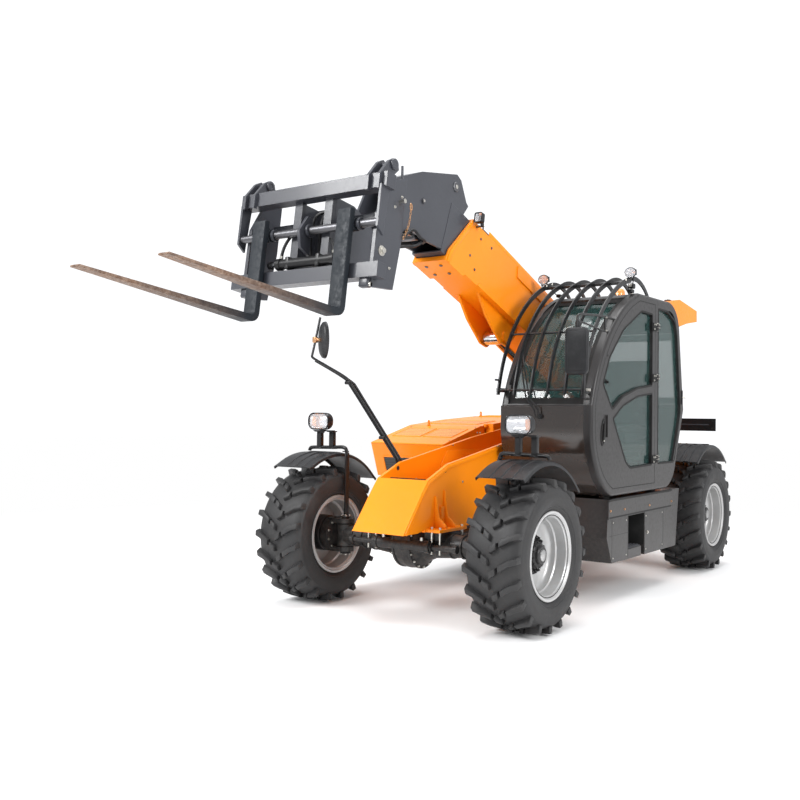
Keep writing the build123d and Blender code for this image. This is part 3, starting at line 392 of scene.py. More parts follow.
def tinted_glass(name, color, density):
    """Thin tinted pane: mostly clear, with gloss on top."""
    material, tree, shader, coords = new_surface(name)
    film = remap(tree, noise(tree, coords, 1.4, 2.0), 0.3, 0.8)
    feed(tree, shader, Base_Color=blend(tree, film, color, tuple(c * 1.25 for c in color)), Roughness=0.03,
         Alpha=density, IOR=1.5, Coat_Weight=0.6, Coat_Roughness=0.03)
    return material


def fork_steel(name):
    """Forged fork steel: blue grey primer, worn to brown rust towards the blade's tip."""
    material, tree, shader, coords = new_surface(name)
    along = remap(tree, part_of(tree, coords, "Y"), -2.05, -2.95)
    mapping = node(tree, "ShaderNodeMapping")
    feed(tree, mapping, Vector=coords, Scale=(3.0, 1.0, 3.0))
    cloud = remap(tree, noise(tree, mapping.outputs["Vector"], 11.0, 8.0, 0.7), 0.36, 0.62)
    worn = combine(tree, "MULTIPLY", along, remap(tree, cloud, 0.0, 1.0, 0.55, 1.0))
    speck = remap(tree, noise(tree, coords, 40.0, 8.0, 0.7), 0.4, 0.66)
    rust = blend(tree, speck, (0.16, 0.085, 0.05), (0.33, 0.23, 0.17))
    feed(tree, shader, Base_Color=blend(tree, worn, (0.011, 0.015, 0.02), rust),
         Roughness=remap(tree, cloud, 0.0, 1.0, 0.42, 0.68), Metallic=0.1, Specular_IOR_Level=0.3)
    bumpy(tree, shader, noise(tree, coords, 55.0, 7.0, 0.7), 0.25, 0.0012, 0.003)
    return material


def seat_cloth(name):
    """Black woven seat cloth."""
    material, tree, shader, coords = new_surface(name)
    threads = [texture(tree, coords, "Wave", 160.0, wave_type="BANDS", bands_direction=way).outputs["Fac"]
               for way in "XZ"]
    weave = combine(tree, "MULTIPLY", *threads)
    feed(tree, shader, Base_Color=blend(tree, weave, (0.018, 0.018, 0.02), (0.06, 0.06, 0.065)),
         Roughness=remap(tree, weave, 0.0, 1.0, 0.85, 0.95), Sheen_Weight=0.3)
    bumpy(tree, shader, weave, 0.3, 0.0008)
    return material


def pierced_sheet(name, color, hole=(0.01, 0.01, 0.01), pitch=90.0):
    """Perforated grille sheet: round holes in rows."""
    material, tree, shader, coords = new_surface(name)
    cells = texture(tree, coords, "Voronoi", pitch, distance="EUCLIDEAN")
    feed(tree, cells, Randomness=0.0)
    solid = remap(tree, cells.outputs["Distance"], 0.3, 0.36)
    feed(tree, shader, Base_Color=blend(tree, solid, hole, color), Roughness=remap(tree, solid, 0.0, 1.0, 0.9,
                                                                                   0.4))
    bumpy(tree, shader, solid, 0.6, 0.0015)
    return material


def lamp_glass(name, color=(0.9, 0.92, 0.95), alpha=0.22):
    """Clear fluted lamp lens."""
    material, tree, shader, coords = new_surface(name)
    flutes = texture(tree, coords, "Wave", 120.0, wave_type="BANDS", bands_direction="X")
    feed(tree, shader, Base_Color=(*color, 1), Roughness=0.05, Alpha=alpha, Coat_Weight=0.7)
    bumpy(tree, shader, flutes.outputs["Fac"], 0.25, 0.0006)
    return material


def make_finishes():
    """All finishes of the machine, by name."""
    palette = bpy.context.scene.handler_palette
    orange = tuple(palette.orange)
    grey = tuple(palette.grey)
    FINISHES.update({
        "orange": coated_paint("orange paint", orange, tuple(c * 0.93 for c in orange), 0.36, 0.1, dust=0.03),
        "slate": coated_paint("slate paint", (0.05, 0.053, 0.063), (0.042, 0.044, 0.053), 0.34, 0.3,
                              dust=0.06),
        "dark_steel": bare_metal("dark steel", (0.16, 0.16, 0.17), 0.36),
        "grey": coated_paint("machine grey paint", grey, tuple(c * 0.8 for c in grey), 0.4, 0.16, dust=0.05),
        "gloss_black": coated_paint("gloss black panel", (0.022, 0.016, 0.014), (0.03, 0.022, 0.018), 0.16,
                                    0.8,
                                    dust=0.04, edge=0.008),
        "black": coated_paint("black paint", (0.008, 0.008, 0.009), (0.013, 0.013, 0.014), 0.36, 0.1,
                              dust=0.04),
        "axle": coated_paint("axle paint", (0.009, 0.009, 0.01), (0.016, 0.015, 0.015), 0.46, 0.08),
        "silver": coated_paint("rim silver", (0.5, 0.505, 0.51), (0.4, 0.4, 0.4), 0.34, 0.35, dust=0.35,
                               metallic=0.35, edge=0.002),
        "plastic": moulded("black moulding", (0.013, 0.0135, 0.015), 0.46),
        "rubber": moulded("seal rubber", (0.012, 0.012, 0.012), 0.7, 700.0, 0.1),
        "hose": moulded("hose rubber", (0.014, 0.014, 0.015), 0.5, 900.0, 0.15),
        "bolt": bare_metal("zinc bolts", (0.62, 0.6, 0.55), 0.3),
        "copper": bare_metal("plated bolts", (0.6, 0.34, 0.18), 0.3),
        "steel": bare_metal("turned steel", (0.5, 0.5, 0.5), 0.3),
        "chrome": bare_metal("polished rod", (0.78, 0.78, 0.8), 0.12, scratch=0.02),
        "mirror": bare_metal("mirror glass", (0.8, 0.83, 0.85), 0.1, scratch=0.0),
        "reflector": bare_metal("lamp reflector", (0.88, 0.88, 0.9), 0.12, scratch=0.05),
        "engine": coated_paint("engine block", (0.09, 0.09, 0.09), (0.06, 0.06, 0.06), 0.6, 0.0),
        "tyre": tyre_rubber("tyre rubber"),
        "glass": tinted_glass("cab glass", (0.03, 0.07, 0.065), 0.42),
        "fork": fork_steel("fork steel"),
        "cloth": seat_cloth("seat cloth"),
        "pierced": pierced_sheet("hood grille", (0.75, 0.3, 0.06)),
        "mesh": pierced_sheet("black mesh", (0.03, 0.03, 0.03), (0.002, 0.002, 0.002), 130.0),
        "lens": lamp_glass("lamp lens"),
        "amber": lamp_glass("amber lens", (0.95, 0.3, 0.02), 0.75),
        "red": lamp_glass("red lens", (0.6, 0.02, 0.02), 0.85),
    })


def at_corners(kind):
    """Names of the four nodes of a kind, one at each corner of the machine."""
    return [f"{kind}_{name}" for name, _, _ in CORNERS]


NODE_FINISH = {
    "orange": ("boom_outer", "chassis_frame", "engine_hood", "roof_visor", "counterweight"),
    "grey": ("cab_frame", "door_frame", "step_box", "engine_pod"),
    "slate": ("boom_inner", "carriage_frame"),
    "gloss_black": ("cab_front_panel",),
    "black": ("cab_guard", "tail_plate", "round_mirror", "tilt_rocker", "tilt_barrel", "lift_barrel",
              *at_corners("hub")),
    "axle": ("front_axle", "rear_axle", "drive_shaft", *at_corners("knuckle")),
    "silver": at_corners("rim"),
    "plastic": ("wing_mirror", "steering_console", "work_lamps", "headlamp_fl", "headlamp_fr",
                *at_corners("fender")),
    "tyre": at_corners("tyre"),
    "glass": ("cab_glass", "door_glass"),
    "steel": ("chassis_pins",),
    "chrome": ("tilt_rod", "lift_rod"),
    "dark_steel": ("carriage_rods",),
    "fork": ("forks",),
    "cloth": ("seat",),
    "engine": ("engine_block",),
}


# settings


class HandlerPalette(bpy.types.PropertyGroup):
    orange: bpy.props.FloatVectorProperty(name="Body paint",
                                          description="Colour of the boom, chassis and hood",
                                          default=(0.95, 0.262, 0.003), subtype="COLOR", min=0, max=1)
    grey: bpy.props.FloatVectorProperty(name="Cab paint",
                                        description="Colour of the cab, step box and carriage",
                                        default=(0.024, 0.0225, 0.023), subtype="COLOR", min=0, max=1)


class HandlerSizes(bpy.types.PropertyGroup):
    lug_pairs: bpy.props.IntProperty(name="Lug pairs", description="Tread lugs on each side of a tyre",
                                     default=20, min=8, max=32)
    lug_top: bpy.props.FloatProperty(name="Tyre radius", description="Radius over the lugs in millimetres",
                                     default=499.0)
    hose: bpy.props.FloatProperty(name="Hose radius", description="Radius of a hydraulic hose in millimetres",
                                  default=11.0)
    wheel_steps: bpy.props.IntProperty(name="Wheel roundness", description="Steps in a turned wheel part",
                                       default=88, min=24)


class HandlerView(bpy.types.PropertyGroup):
    place: bpy.props.FloatVectorProperty(name="Camera place", description="Where the camera stands",
                                         subtype="TRANSLATION",
                                         default=(3.7455, -6.0837, 1.3886), unit="LENGTH")
    heading: bpy.props.FloatProperty(name="Heading", description="Camera heading from +Y", subtype="ANGLE",
                                     default=radians(35.6735))
    rise: bpy.props.FloatProperty(name="Rise", description="How far the camera looks up", subtype="ANGLE",
                                  default=radians(0.8718))
    roll: bpy.props.FloatProperty(name="Roll", description="Camera roll", subtype="ANGLE",
                                  default=radians(0.6253))
    lens: bpy.props.FloatProperty(name="Lens", description="Focal length on a 36 mm sensor", default=42.33)


class HANDLER_OT_stage(bpy.types.Operator):
    """Pale floor, soft daylight and the camera at the photograph's place"""
    bl_idname = "handler.stage"
    bl_label = "Stage, lights and camera"

    def execute(self, context):
        scene = context.scene
        look = scene.handler_view
        head, rise, roll = look.heading, look.rise, look.roll
        forward = Vector((-sin(head) * cos(rise), cos(head) * cos(rise), sin(rise)))
        right = Vector((cos(head), sin(head), 0))
        up = right.cross(forward)
        right, up = right * cos(roll) + up * sin(roll), up * cos(roll) - right * sin(roll)
        camera = bpy.data.objects.new("camera", bpy.data.cameras.new("camera"))
        camera.matrix_world = Matrix.Translation(look.place) @ Matrix((right, up,
                                                                       -forward)).transposed().to_4x4()
        camera.data.lens = look.lens
        camera.data.sensor_width = 36
        camera.data.clip_end = 200
        scene.collection.objects.link(camera)
        scene.camera = camera

        bm = bmesh.new()
        bmesh.ops.create_grid(bm, x_segments=2, y_segments=2, size=40.0)
        FINISHES["floor"], tree, shader, coords = new_surface("studio floor")
        feed(tree, shader, Base_Color=(0.93, 0.93, 0.93, 1), Roughness=0.9)
        # the floor fades to plain white away from the machine, so no horizon shows
        reach = node(tree, "ShaderNodeVectorMath", operation="LENGTH")
        tree.links.new(coords, reach.inputs[0])
        glow = node(tree, "ShaderNodeEmission")
        feed(tree, glow, Strength=1.0)
        both = node(tree, "ShaderNodeMixShader")
        fade = remap(tree, reach.outputs["Value"], 3.6, 8.0)
        for source, target in zip((fade, shader.outputs[0], glow.outputs[0]), both.inputs):
            tree.links.new(source, target)
        feed(tree, tree.nodes["Material Output"], Surface=both.outputs[0])
        floor = finish(bm, "studio_floor", None, "floor", flip=False)

        world = bpy.data.worlds.new("daylight")
        world.use_nodes = True
        tree = world.node_tree
        seen = node(tree, "ShaderNodeLightPath").outputs["Is Camera Ray"]
        feed(tree, tree.nodes["Background"], Color=(0.97, 0.98, 1.0, 1),
             Strength=remap(tree, seen, 0.0, 1.0, 0.82, 1.15))
        scene.world = world
        scene.view_settings.view_transform = "Standard"
        scene.view_settings.look = "None"
        lamps = (
            # name, place, aim, size, watts
            ("key light", (-4.0, -9.0, 7.5), (0.0, -0.5, 1.2), 5.0, 1150.0),
            ("side light", (9.0, -1.5, 5.0), (0.8, 0.0, 1.2), 5.0, 520.0),
            ("top light", (0.5, 1.0, 10.0), (0.0, 0.0, 0.0), 8.0, 700.0),
        )
        for name, place, aim, size, power in lamps:
            light = bpy.data.lights.new(name, "AREA")
            light.shape = "DISK"
            light.size = size
            light.energy = power
            holder = bpy.data.objects.new(name, light)
            holder.location = place
            holder.rotation_euler = (Vector(aim) - Vector(place)).to_track_quat("-Z", "Y").to_euler()
            scene.collection.objects.link(holder)
        return {"FINISHED"}


class HANDLER_OT_finishes(bpy.types.Operator):
    """Procedural finishes on every carried-over solid"""
    bl_idname = "handler.finishes"
    bl_label = "Finishes"

    def execute(self, context):
        make_finishes()
        for finish_name, nodes in NODE_FINISH.items():
            for name in nodes:
                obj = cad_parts[name]
                for slot in obj.material_slots:
                    slot.material = FINISHES[finish_name]
        return {"FINISHED"}


def wheel_place(side, d):
    """Carries a wheel part drawn about the X axis, outer side at +X, to its corner."""
    flip = Matrix.Diagonal((side, 1, 1, 1))
    return Matrix.Translation(at(side * TRACK_HALF, d, HUB_Z)) @ flip


class HANDLER_OT_tyres(bpy.types.Operator):
    """Tyres with a round shouldered carcass and two rows of split lugs a side"""
    bl_idname = "handler.tyres"
    bl_label = "Tyres"

    def execute(self, context):
        sizes = context.scene.handler_sizes
        profile = [(-171, 257), (-171, 290), (-180, 300), (-190, 312), (-190, 318), (-197, 324), (-201, 344),
                   (-203, 366),
                   (-202, 392), (-197, 412), (-197, 418), (-190, 432), (-172, 449), (-130, 460), (-60,
                                                                                                  466), (0,
                                                                                                         467)]
        profile += [(-x, r) for x, r in reversed(profile[:-1])]
        # lug outlines: corners as (across, around) in millimetres
        shoulder = [(62, -24), (62, 22), (128, 62), (196, 86), (196, 42), (140, 24)]
        middle = [(4, -62), (4, -16), (50, 14), (50, -32)]
        for name, side, d in CORNERS:
            bm = bmesh.new()
            turned(bm, profile, Vector(), steps=sizes.wheel_steps)
            for half in (1, -1):
                lug = bmesh.new()
                for outline, root in ((shoulder, 430.0), (middle, 458.0)):
                    verts = plate(lug, [Vector((half * x, t, root)) / 1000 for x, t in outline],
                                  Vector((0, 0, (sizes.lug_top - root) / 1000)))
                    centre = sum((v.co for v in verts), Vector()) / len(verts)
                    for v in verts:
                        if v.co.z > (root + 5) / 1000:
                            x, t = abs(v.co.x) * 1000, v.co.y * 1000
                            v.co.x += (centre.x - v.co.x) * 0.07
                            v.co.y += (centre.y - v.co.y) * 0.12
                            crown = sizes.lug_top - (x / 196) ** 2 * 13
                            v.co.z = (max(crown, 1) ** 2 - t ** 2) ** 0.5 / 1000
                bmesh.ops.recalc_face_normals(lug, faces=lug.faces)
                round_off(lug, [e for e in lug.edges if e.calc_face_angle(0) > radians(30)], 0.005, 2)
                start = Matrix.Rotation(2 * pi / sizes.lug_pairs * 0.25 * half, 4, "X")
                bmesh.ops.transform(lug, matrix=start, verts=lug.verts)
                bmesh.ops.spin(lug, geom=lug.verts[:] + lug.edges[:] + lug.faces[:], axis=(1, 0, 0),
                               angle=2 * pi,
                               steps=sizes.lug_pairs, use_duplicate=True, use_merge=False)
                add(bm, lug)
            bmesh.ops.transform(bm, matrix=wheel_place(side, d), verts=bm.verts)
            tyre = finish(bm, "tyre_tread_" + name, "wheel_" + name, "tyre", smooth=38)
            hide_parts("tyre_" + name)
        return {"FINISHED"}


class HANDLER_OT_rims(bpy.types.Operator):
    """Deep dished rims, bolted hubs with studs and a cap, tyre valves"""
    bl_idname = "handler.rims"
    bl_label = "Rims and hubs"

    def execute(self, context):
        steps = context.scene.handler_sizes.wheel_steps
        rim_profile = [(-182, 285), (-176, 288), (-172, 284), (-172, 256), (-66, 251), (-54, 240), (44, 240),
                       (58, 251),
                       (170, 256), (172, 284), (177, 288), (182, 284), (181, 272), (170, 262), (160,
                                                                                                249), (96,
                                                                                                       244),
                       (88, 236), (60, 234), (50, 228), (40, 216), (34, 190), (32, 110), (32, 96), (20,
                                                                                                    96), (20,
                                                                                                          190),
                       (26, 216), (30, 229), (-58, 231), (-70, 243), (-160, 249), (-170, 262), (-181, 272)]
        hub_profile = [(-104, 0), (-104, 118), (-98, 130), (-60, 132), (19, 132), (33, 131), (47, 129), (50,
                                                                                                         126), (50, 95),
                       (53, 92), (86, 84), (93, 78), (97, 66), (112, 62), (117, 56), (118, 0)]
        cap_profile = [(117, 0), (117, 38), (123, 37), (126, 30), (126, 0)]
        for name, side, d in CORNERS:
            place = wheel_place(side, d)
            bm = bmesh.new()
            turned(bm, rim_profile, Vector(), steps=steps)
            # valve stem through the disc
            bar(bm, Vector((0.02, 0.0, 0.2)), Vector((0.075, 0.0, 0.2)), 6, 10)
            bar(bm, Vector((0.075, 0.0, 0.2)), Vector((0.086, 0.0, 0.2)), 4, 10)
            bmesh.ops.transform(bm, matrix=place, verts=bm.verts)
            rim = finish(bm, "wheel_rim_" + name, "wheel_" + name, "silver", smooth=30)
            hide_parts("rim_" + name)

            bm = bmesh.new()
            turned(bm, hub_profile, Vector(), steps=64, closed=False)
            turned(bm, cap_profile, Vector(), steps=32, closed=False, material=1)
            rows = (
                # count, radius, from x, to x, across, turn
                (16, 111, 48, 66, 21, 0.0),
                (12, 80, 86, 96, 13, 0.13),
            )
            for count, r, x0, x1, across, turn in rows:
                for y, z in around(count, r, turn):
                    root = Vector((x0, y, z)) / 1000
                    hexagon_head(bm, root, ACROSS, across, x1 - x0)
                    if r > 100:
                        bar(bm, root, root + ACROSS * ((x1 - x0 + 10) / 1000), 6, 8)
            bmesh.ops.transform(bm, matrix=place, verts=bm.verts)
            hub = finish(bm, "wheel_hub_" + name, "wheel_" + name, "black", "steel", smooth=32)
            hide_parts("hub_" + name)
        return {"FINISHED"}


def arc_point(x, d, z, r, angle):
    """Point round a cross axis at d, z; the angle runs from rearward over the top."""
    return at(x, d + r * cos(radians(angle)), z + r * sin(radians(angle)))


class HANDLER_OT_fenders(bpy.types.Operator):
    """Ribbed fender skins with turned-down lips, and the tube brackets that carry them"""
    bl_idname = "handler.fenders"
    bl_label = "Fenders"

    def execute(self, context):
        # section across the fender: x, height over the skin's underside
        section = [(685, -19), (686, 0), (694, 7), (716, 8)]
        for rib in (770, 850, 930):
            section += [(rib - 26, 8), (rib - 20, 14), (rib + 20, 14), (rib + 26, 8)]
        section += [(1006, 8), (1024, 7), (1034, 0), (1035, -19)]
        section += [(1031, -19), (1030, -2), (1022, 2), (698, 2), (690, -2), (689, -19)]
        for name, side, d in CORNERS:
            front = name[0] == "f"
            # radius of the underside, first and last angle
            under, start, end = (591.0, 40.0, 124.0) if front else (631.0, 47.0, 130.0)
            bm = bmesh.new()
            verts = [bm.verts.new(arc_point(x, 0, 0, under + h, start)) for x, h in section]
            face = bm.faces.new(verts)
            bmesh.ops.spin(bm, geom=[face] + face.edges[:] + verts, cent=at(0, 0, 0), axis=(1, 0, 0),
                           angle=radians(end - start), steps=26, use_merge=False)
            # both ends flare up a little into a rolled edge
            for v in bm.verts:
                y, z = v.co.y - FRONT_AXLE_Y / 1000, v.co.z
                a = atan2(z, y)
                spare = min(abs(a - radians(start)), abs(a - radians(end)))
                if spare < radians(4):
                    lift = 1 + 0.010 * (1 - spare / radians(4))
                    v.co.y, v.co.z = FRONT_AXLE_Y / 1000 + y * lift, z * lift
            flip = Matrix.Translation((0, d / 1000, HUB_Z / 1000)) @ Matrix.Diagonal((side, 1, 1, 1))
            bmesh.ops.transform(bm, matrix=flip, verts=bm.verts)
            body = "steer_" + name if front else "chassis"
            skin = finish(bm, "fender_skin_" + name, body, "plastic", smooth=28)
            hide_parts("fender_" + name)

            bm = bmesh.new()
            if front:
                # upright channel from the knuckle, then over the fender
                brick(bm, (12, 42, 470), at(648, 41, 864))
                brick(bm, (30, 42, 8), at(660, 41, 1108))
                for d0, z in ((30, 650), (30, 694), (52, 650), (52, 694)):
                    hexagon_head(bm, at(654, d0, z), ACROSS, 13, 9, 1)
                for x in (730, 790, 850, 910, 960):
                    hexagon_head(bm, at(x, 41, 1126), UP, 14, 10, 1)
                for x in (790, 910):
                    brick(bm, (58, 48, 8), at(x, 41, 1127))
                    brick(bm, (40, 34, 120), at(x, 41, 1190))
                    brick(bm, (56, 60, 8), at(x, 34, 1254))
                brick(bm, (178, 44, 7), at(850, 14, 1260))
                bmesh.ops.transform(bm, matrix=Matrix.Diagonal((side, 1, 1, 1)), verts=bm.verts)
                frame_piece = finish(bm, "fender_bracket_" + name, body, "black", "bolt", bevel=0.0015)
                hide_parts("fender_" + name)
                line = [(648, 41, 1080), (650, 41, 1128), (690, 41, 1142), (760, 41, 1136), (860, 41, 1134),
                        (975, 41, 1132),
                        (1010, 41, 1126), (1014, 41, 1106)]
                tube = pipe([at(side * x, y, z) for x, y, z in line], 14, "fender_tube_" + name, body,
                            "black")
                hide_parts("fender_" + name)
            else:
                for x in (740, 800):
                    hexagon_head(bm, at(side * x, d, 1141), UP, 14, 10, 1)
                brick(bm, (300, 44, 7), at(side * 850, d, 1143))
                cap = finish(bm, "fender_bracket_" + name, body, "black", "bolt", bevel=0.0015)
        return {"FINISHED"}


def along_y(part):
    """Edges of a plain box that run along Y."""
    return [e for e in part.edges if abs(e.verts[0].co.y - e.verts[1].co.y) > 1e-6]


def lamp_shell(width, height, depth, radius, wall):
    """Lamp housing facing -Y with an open bowl: black shell and bright reflector (material 1)."""
    part = bmesh.new()
    brick(part, (width, depth, height), Vector())
    round_off(part, along_y(part), radius / 1000, 6)
    back = [e for e in part.edges if min(v.co.y for v in e.verts) > depth / 2000 - 1e-6]
    round_off(part, back, min(radius, depth * 0.5) / 1000, 4)
    front = max((f for f in part.faces if f.normal.y < -0.9), key=lambda f: f.calc_area())
    bmesh.ops.inset_region(part, faces=[front], thickness=wall / 1000, depth=0)
    made = bmesh.ops.extrude_face_region(part, geom=[front])
    inner = [v for v in made["geom"] if isinstance(v, bmesh.types.BMVert)]
    bmesh.ops.delete(part, geom=[front], context="FACES")
    bmesh.ops.translate(part, verts=inner, vec=(0, depth * 0.22 / 1000, 0))
    floor = [f for f in made["geom"] if isinstance(f, bmesh.types.BMFace)][0]
    floor.material_index = 1
    bowl = depth * 0.55 / 1000
    for share, deep in ((0.16, 0.4), (0.12, 0.15)):
        made = bmesh.ops.inset_region(part, faces=[floor], thickness=min(width, height) * share / 1000,
                                      depth=-bowl * deep)
        for f in made["faces"]:
            f.material_index = 1
    return part


class HANDLER_OT_headlamps(bpy.types.Operator):
    """Rounded headlamps with bowl, bulb, turn lamp and clear lens"""
    bl_idname = "handler.headlamps"
    bl_label = "Headlamps"

    def execute(self, context):
        for name, side in (("fl", 1), ("fr", -1)):
            bm = bmesh.new()
            add(bm, lamp_shell(196, 128, 90, 54, 6))
            bar(bm, Vector((-0.03, -0.01, 0)), Vector((-0.03, 0.012, 0)), 13, 16, material=1)
            bar(bm, Vector((-0.03, -0.022, 0)), Vector((-0.03, -0.008, 0)), 8, 16, material=1)
            rounded_block(bm, (34, 16, 74), Vector((0.058, -0.018, 0)), 8, material=3)
            rounded_block(bm, (176, 10, 108), Vector((0, -0.036, 0)), 4.8, 3, material=2)
            # foot: swivel joint under the lamp
            rounded_block(bm, (44, 34, 22), Vector((0, 0.012, -0.066)), 5)
            bar(bm, Vector((0, 0.012, -0.088)), Vector((0, 0.012, -0.06)), 14, 16)
            matrix = Matrix.Translation(at(side * 841, -24, 1331)) @ Matrix.Diagonal((side, 1, 1, 1))
            bmesh.ops.transform(bm, matrix=matrix, verts=bm.verts)
            lamp = finish(bm, "headlamp_unit_" + name, "steer_" + name, "plastic", "reflector",
                          "lens", "amber", smooth=40)
            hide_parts("headlamp_" + name)
        return {"FINISHED"}


def arc3(a, b, c, steps=14):
    """Places on the arc through three places of the d, z plane."""
    (ax, ay), (bx, by), (cx, cy) = a, b, c
    k = 2 * (ax * (by - cy) + bx * (cy - ay) + cx * (ay - by))
    sa, sb, sc = ax * ax + ay * ay, bx * bx + by * by, cx * cx + cy * cy
    ux = (sa * (by - cy) + sb * (cy - ay) + sc * (ay - by)) / k
    uy = (sa * (cx - bx) + sb * (ax - cx) + sc * (bx - ax)) / k
    r = hypot(ax - ux, ay - uy)
    start, middle, end = (atan2(y - uy, x - ux) for x, y in (a, b, c))
    sweep = (end - start) % (2 * pi)
    if (middle - start) % (2 * pi) > sweep:
        sweep -= 2 * pi
    return [(ux + r * cos(start + sweep * i / steps),
             uy + r * sin(start + sweep * i / steps)) for i in range(steps + 1)]


def inset(points, amount, closed=True):
    """Outline moved to its left side by an amount; leftwards is inwards on a line that runs anticlockwise."""
    out = []
    for i, p in enumerate(points):
        here = Vector(p)
        last = Vector(points[i - 1]) if closed or i else None
        ahead = Vector(points[(i + 1) % len(points)]) if closed or i < len(points) - 1 else None
        ways = [w.normalized() for w in ((here - last) if last else None,
                                         (ahead - here) if ahead else None) if w]
        normals = [Vector((-w.y, w.x)) for w in ways]
        mean = sum(normals, Vector((0, 0))).normalized()
        moved = here + mean * (amount / max(0.4, mean.dot(normals[0])))
        out.append((moved.x, moved.y))
    return out


def clipped(points, limit):
    """Part of a closed outline in front of a distance d."""
    out = []
    for a, b in zip(points, points[1:] + points[:1]):
        if a[0] <= limit:
            out.append(a)
        if (a[0] - limit) * (b[0] - limit) < 0:
            t = (limit - a[0]) / (b[0] - a[0])
            out.append((limit, a[1] + (b[1] - a[1]) * t))
    return out


def softened(points, r, steps=5):
    """Closed outline with its corners rounded."""
    out = []
    for i, p in enumerate(points):
        here, last, ahead = Vector(p), Vector(points[i - 1]), Vector(points[(i + 1) % len(points)])
        back, on = (last - here), (ahead - here)
        reach = min(r, back.length * 0.45, on.length * 0.45)
        a, b = here + back.normalized() * reach, here + on.normalized() * reach
        for k in range(steps + 1):
            t = k / steps
            q = a * (1 - t) ** 2 + here * (2 * t * (1 - t)) + b * t ** 2
            out.append((q.x, q.y))
    return out


def bead(bm, loop, x0, x1, half, material=0, closed=True):
    """Strip that follows a line of the d, z plane, between x0 and x1, to either side of the line by half."""
    rows = []
    for offset, x in ((-half, x0), (-half, x1), (half, x1), (half, x0)):
        rows.append([bm.verts.new(at(x, d, z)) for d, z in inset(loop, offset, closed)])
    n = len(loop)
    faces = []
    for k in range(4):
        a, b = rows[k], rows[(k + 1) % 4]
        for i in range(n if closed else n - 1):
            faces.append(bm.faces.new((a[i], a[(i + 1) % n], b[(i + 1) % n], b[i])))
    if not closed:
        faces += [bm.faces.new([row[i] for row in rows]) for i in (0, -1)]
    for f in faces:
        f.material_index = material


HINGE_HEIGHTS = (1050, 1700, 2110)
CAB_FRONT = arc3((1593, 2351), (1044, 2018), (716, 1468), 24)
CAB_EDGE = CAB_FRONT + arc3((716, 1300), (800, 1025), (1079, 802)) + arc3((2171, 802), (2350, 870), (2430,
                                                                                                     1000))
CAB_EDGE += [(2622, 1453)] + arc3((2508, 2136), (2425, 2285), (2212, 2351))
DOOR_WINDOWS = (
    [(905, 1625), (1075, 1440), (1270, 1540), (1560, 1610), (1865, 1640), (1865, 2210), (1640, 2215), (1270,
                                                                                                       2040), (1020, 1820)],
    [(1090, 1375), (1330, 1050), (1420, 1000), (1865, 1010), (1865, 1578), (1560, 1548), (1280, 1475)],
)


def on_front(x, z, out=0.0):
    """Point at a height on the curved front of the cab, moved outwards."""
    line = inset(CAB_FRONT, -out, False)
    for (d0, z0), (d1, z1) in zip(line, line[1:]):
        if z1 <= z <= z0:
            return at(x, d0 + (d1 - d0) * (z - z0) / (z1 - z0), z)
    return at(x, *(line[0] if z > line[0][1] else (line[-1][0], z)))


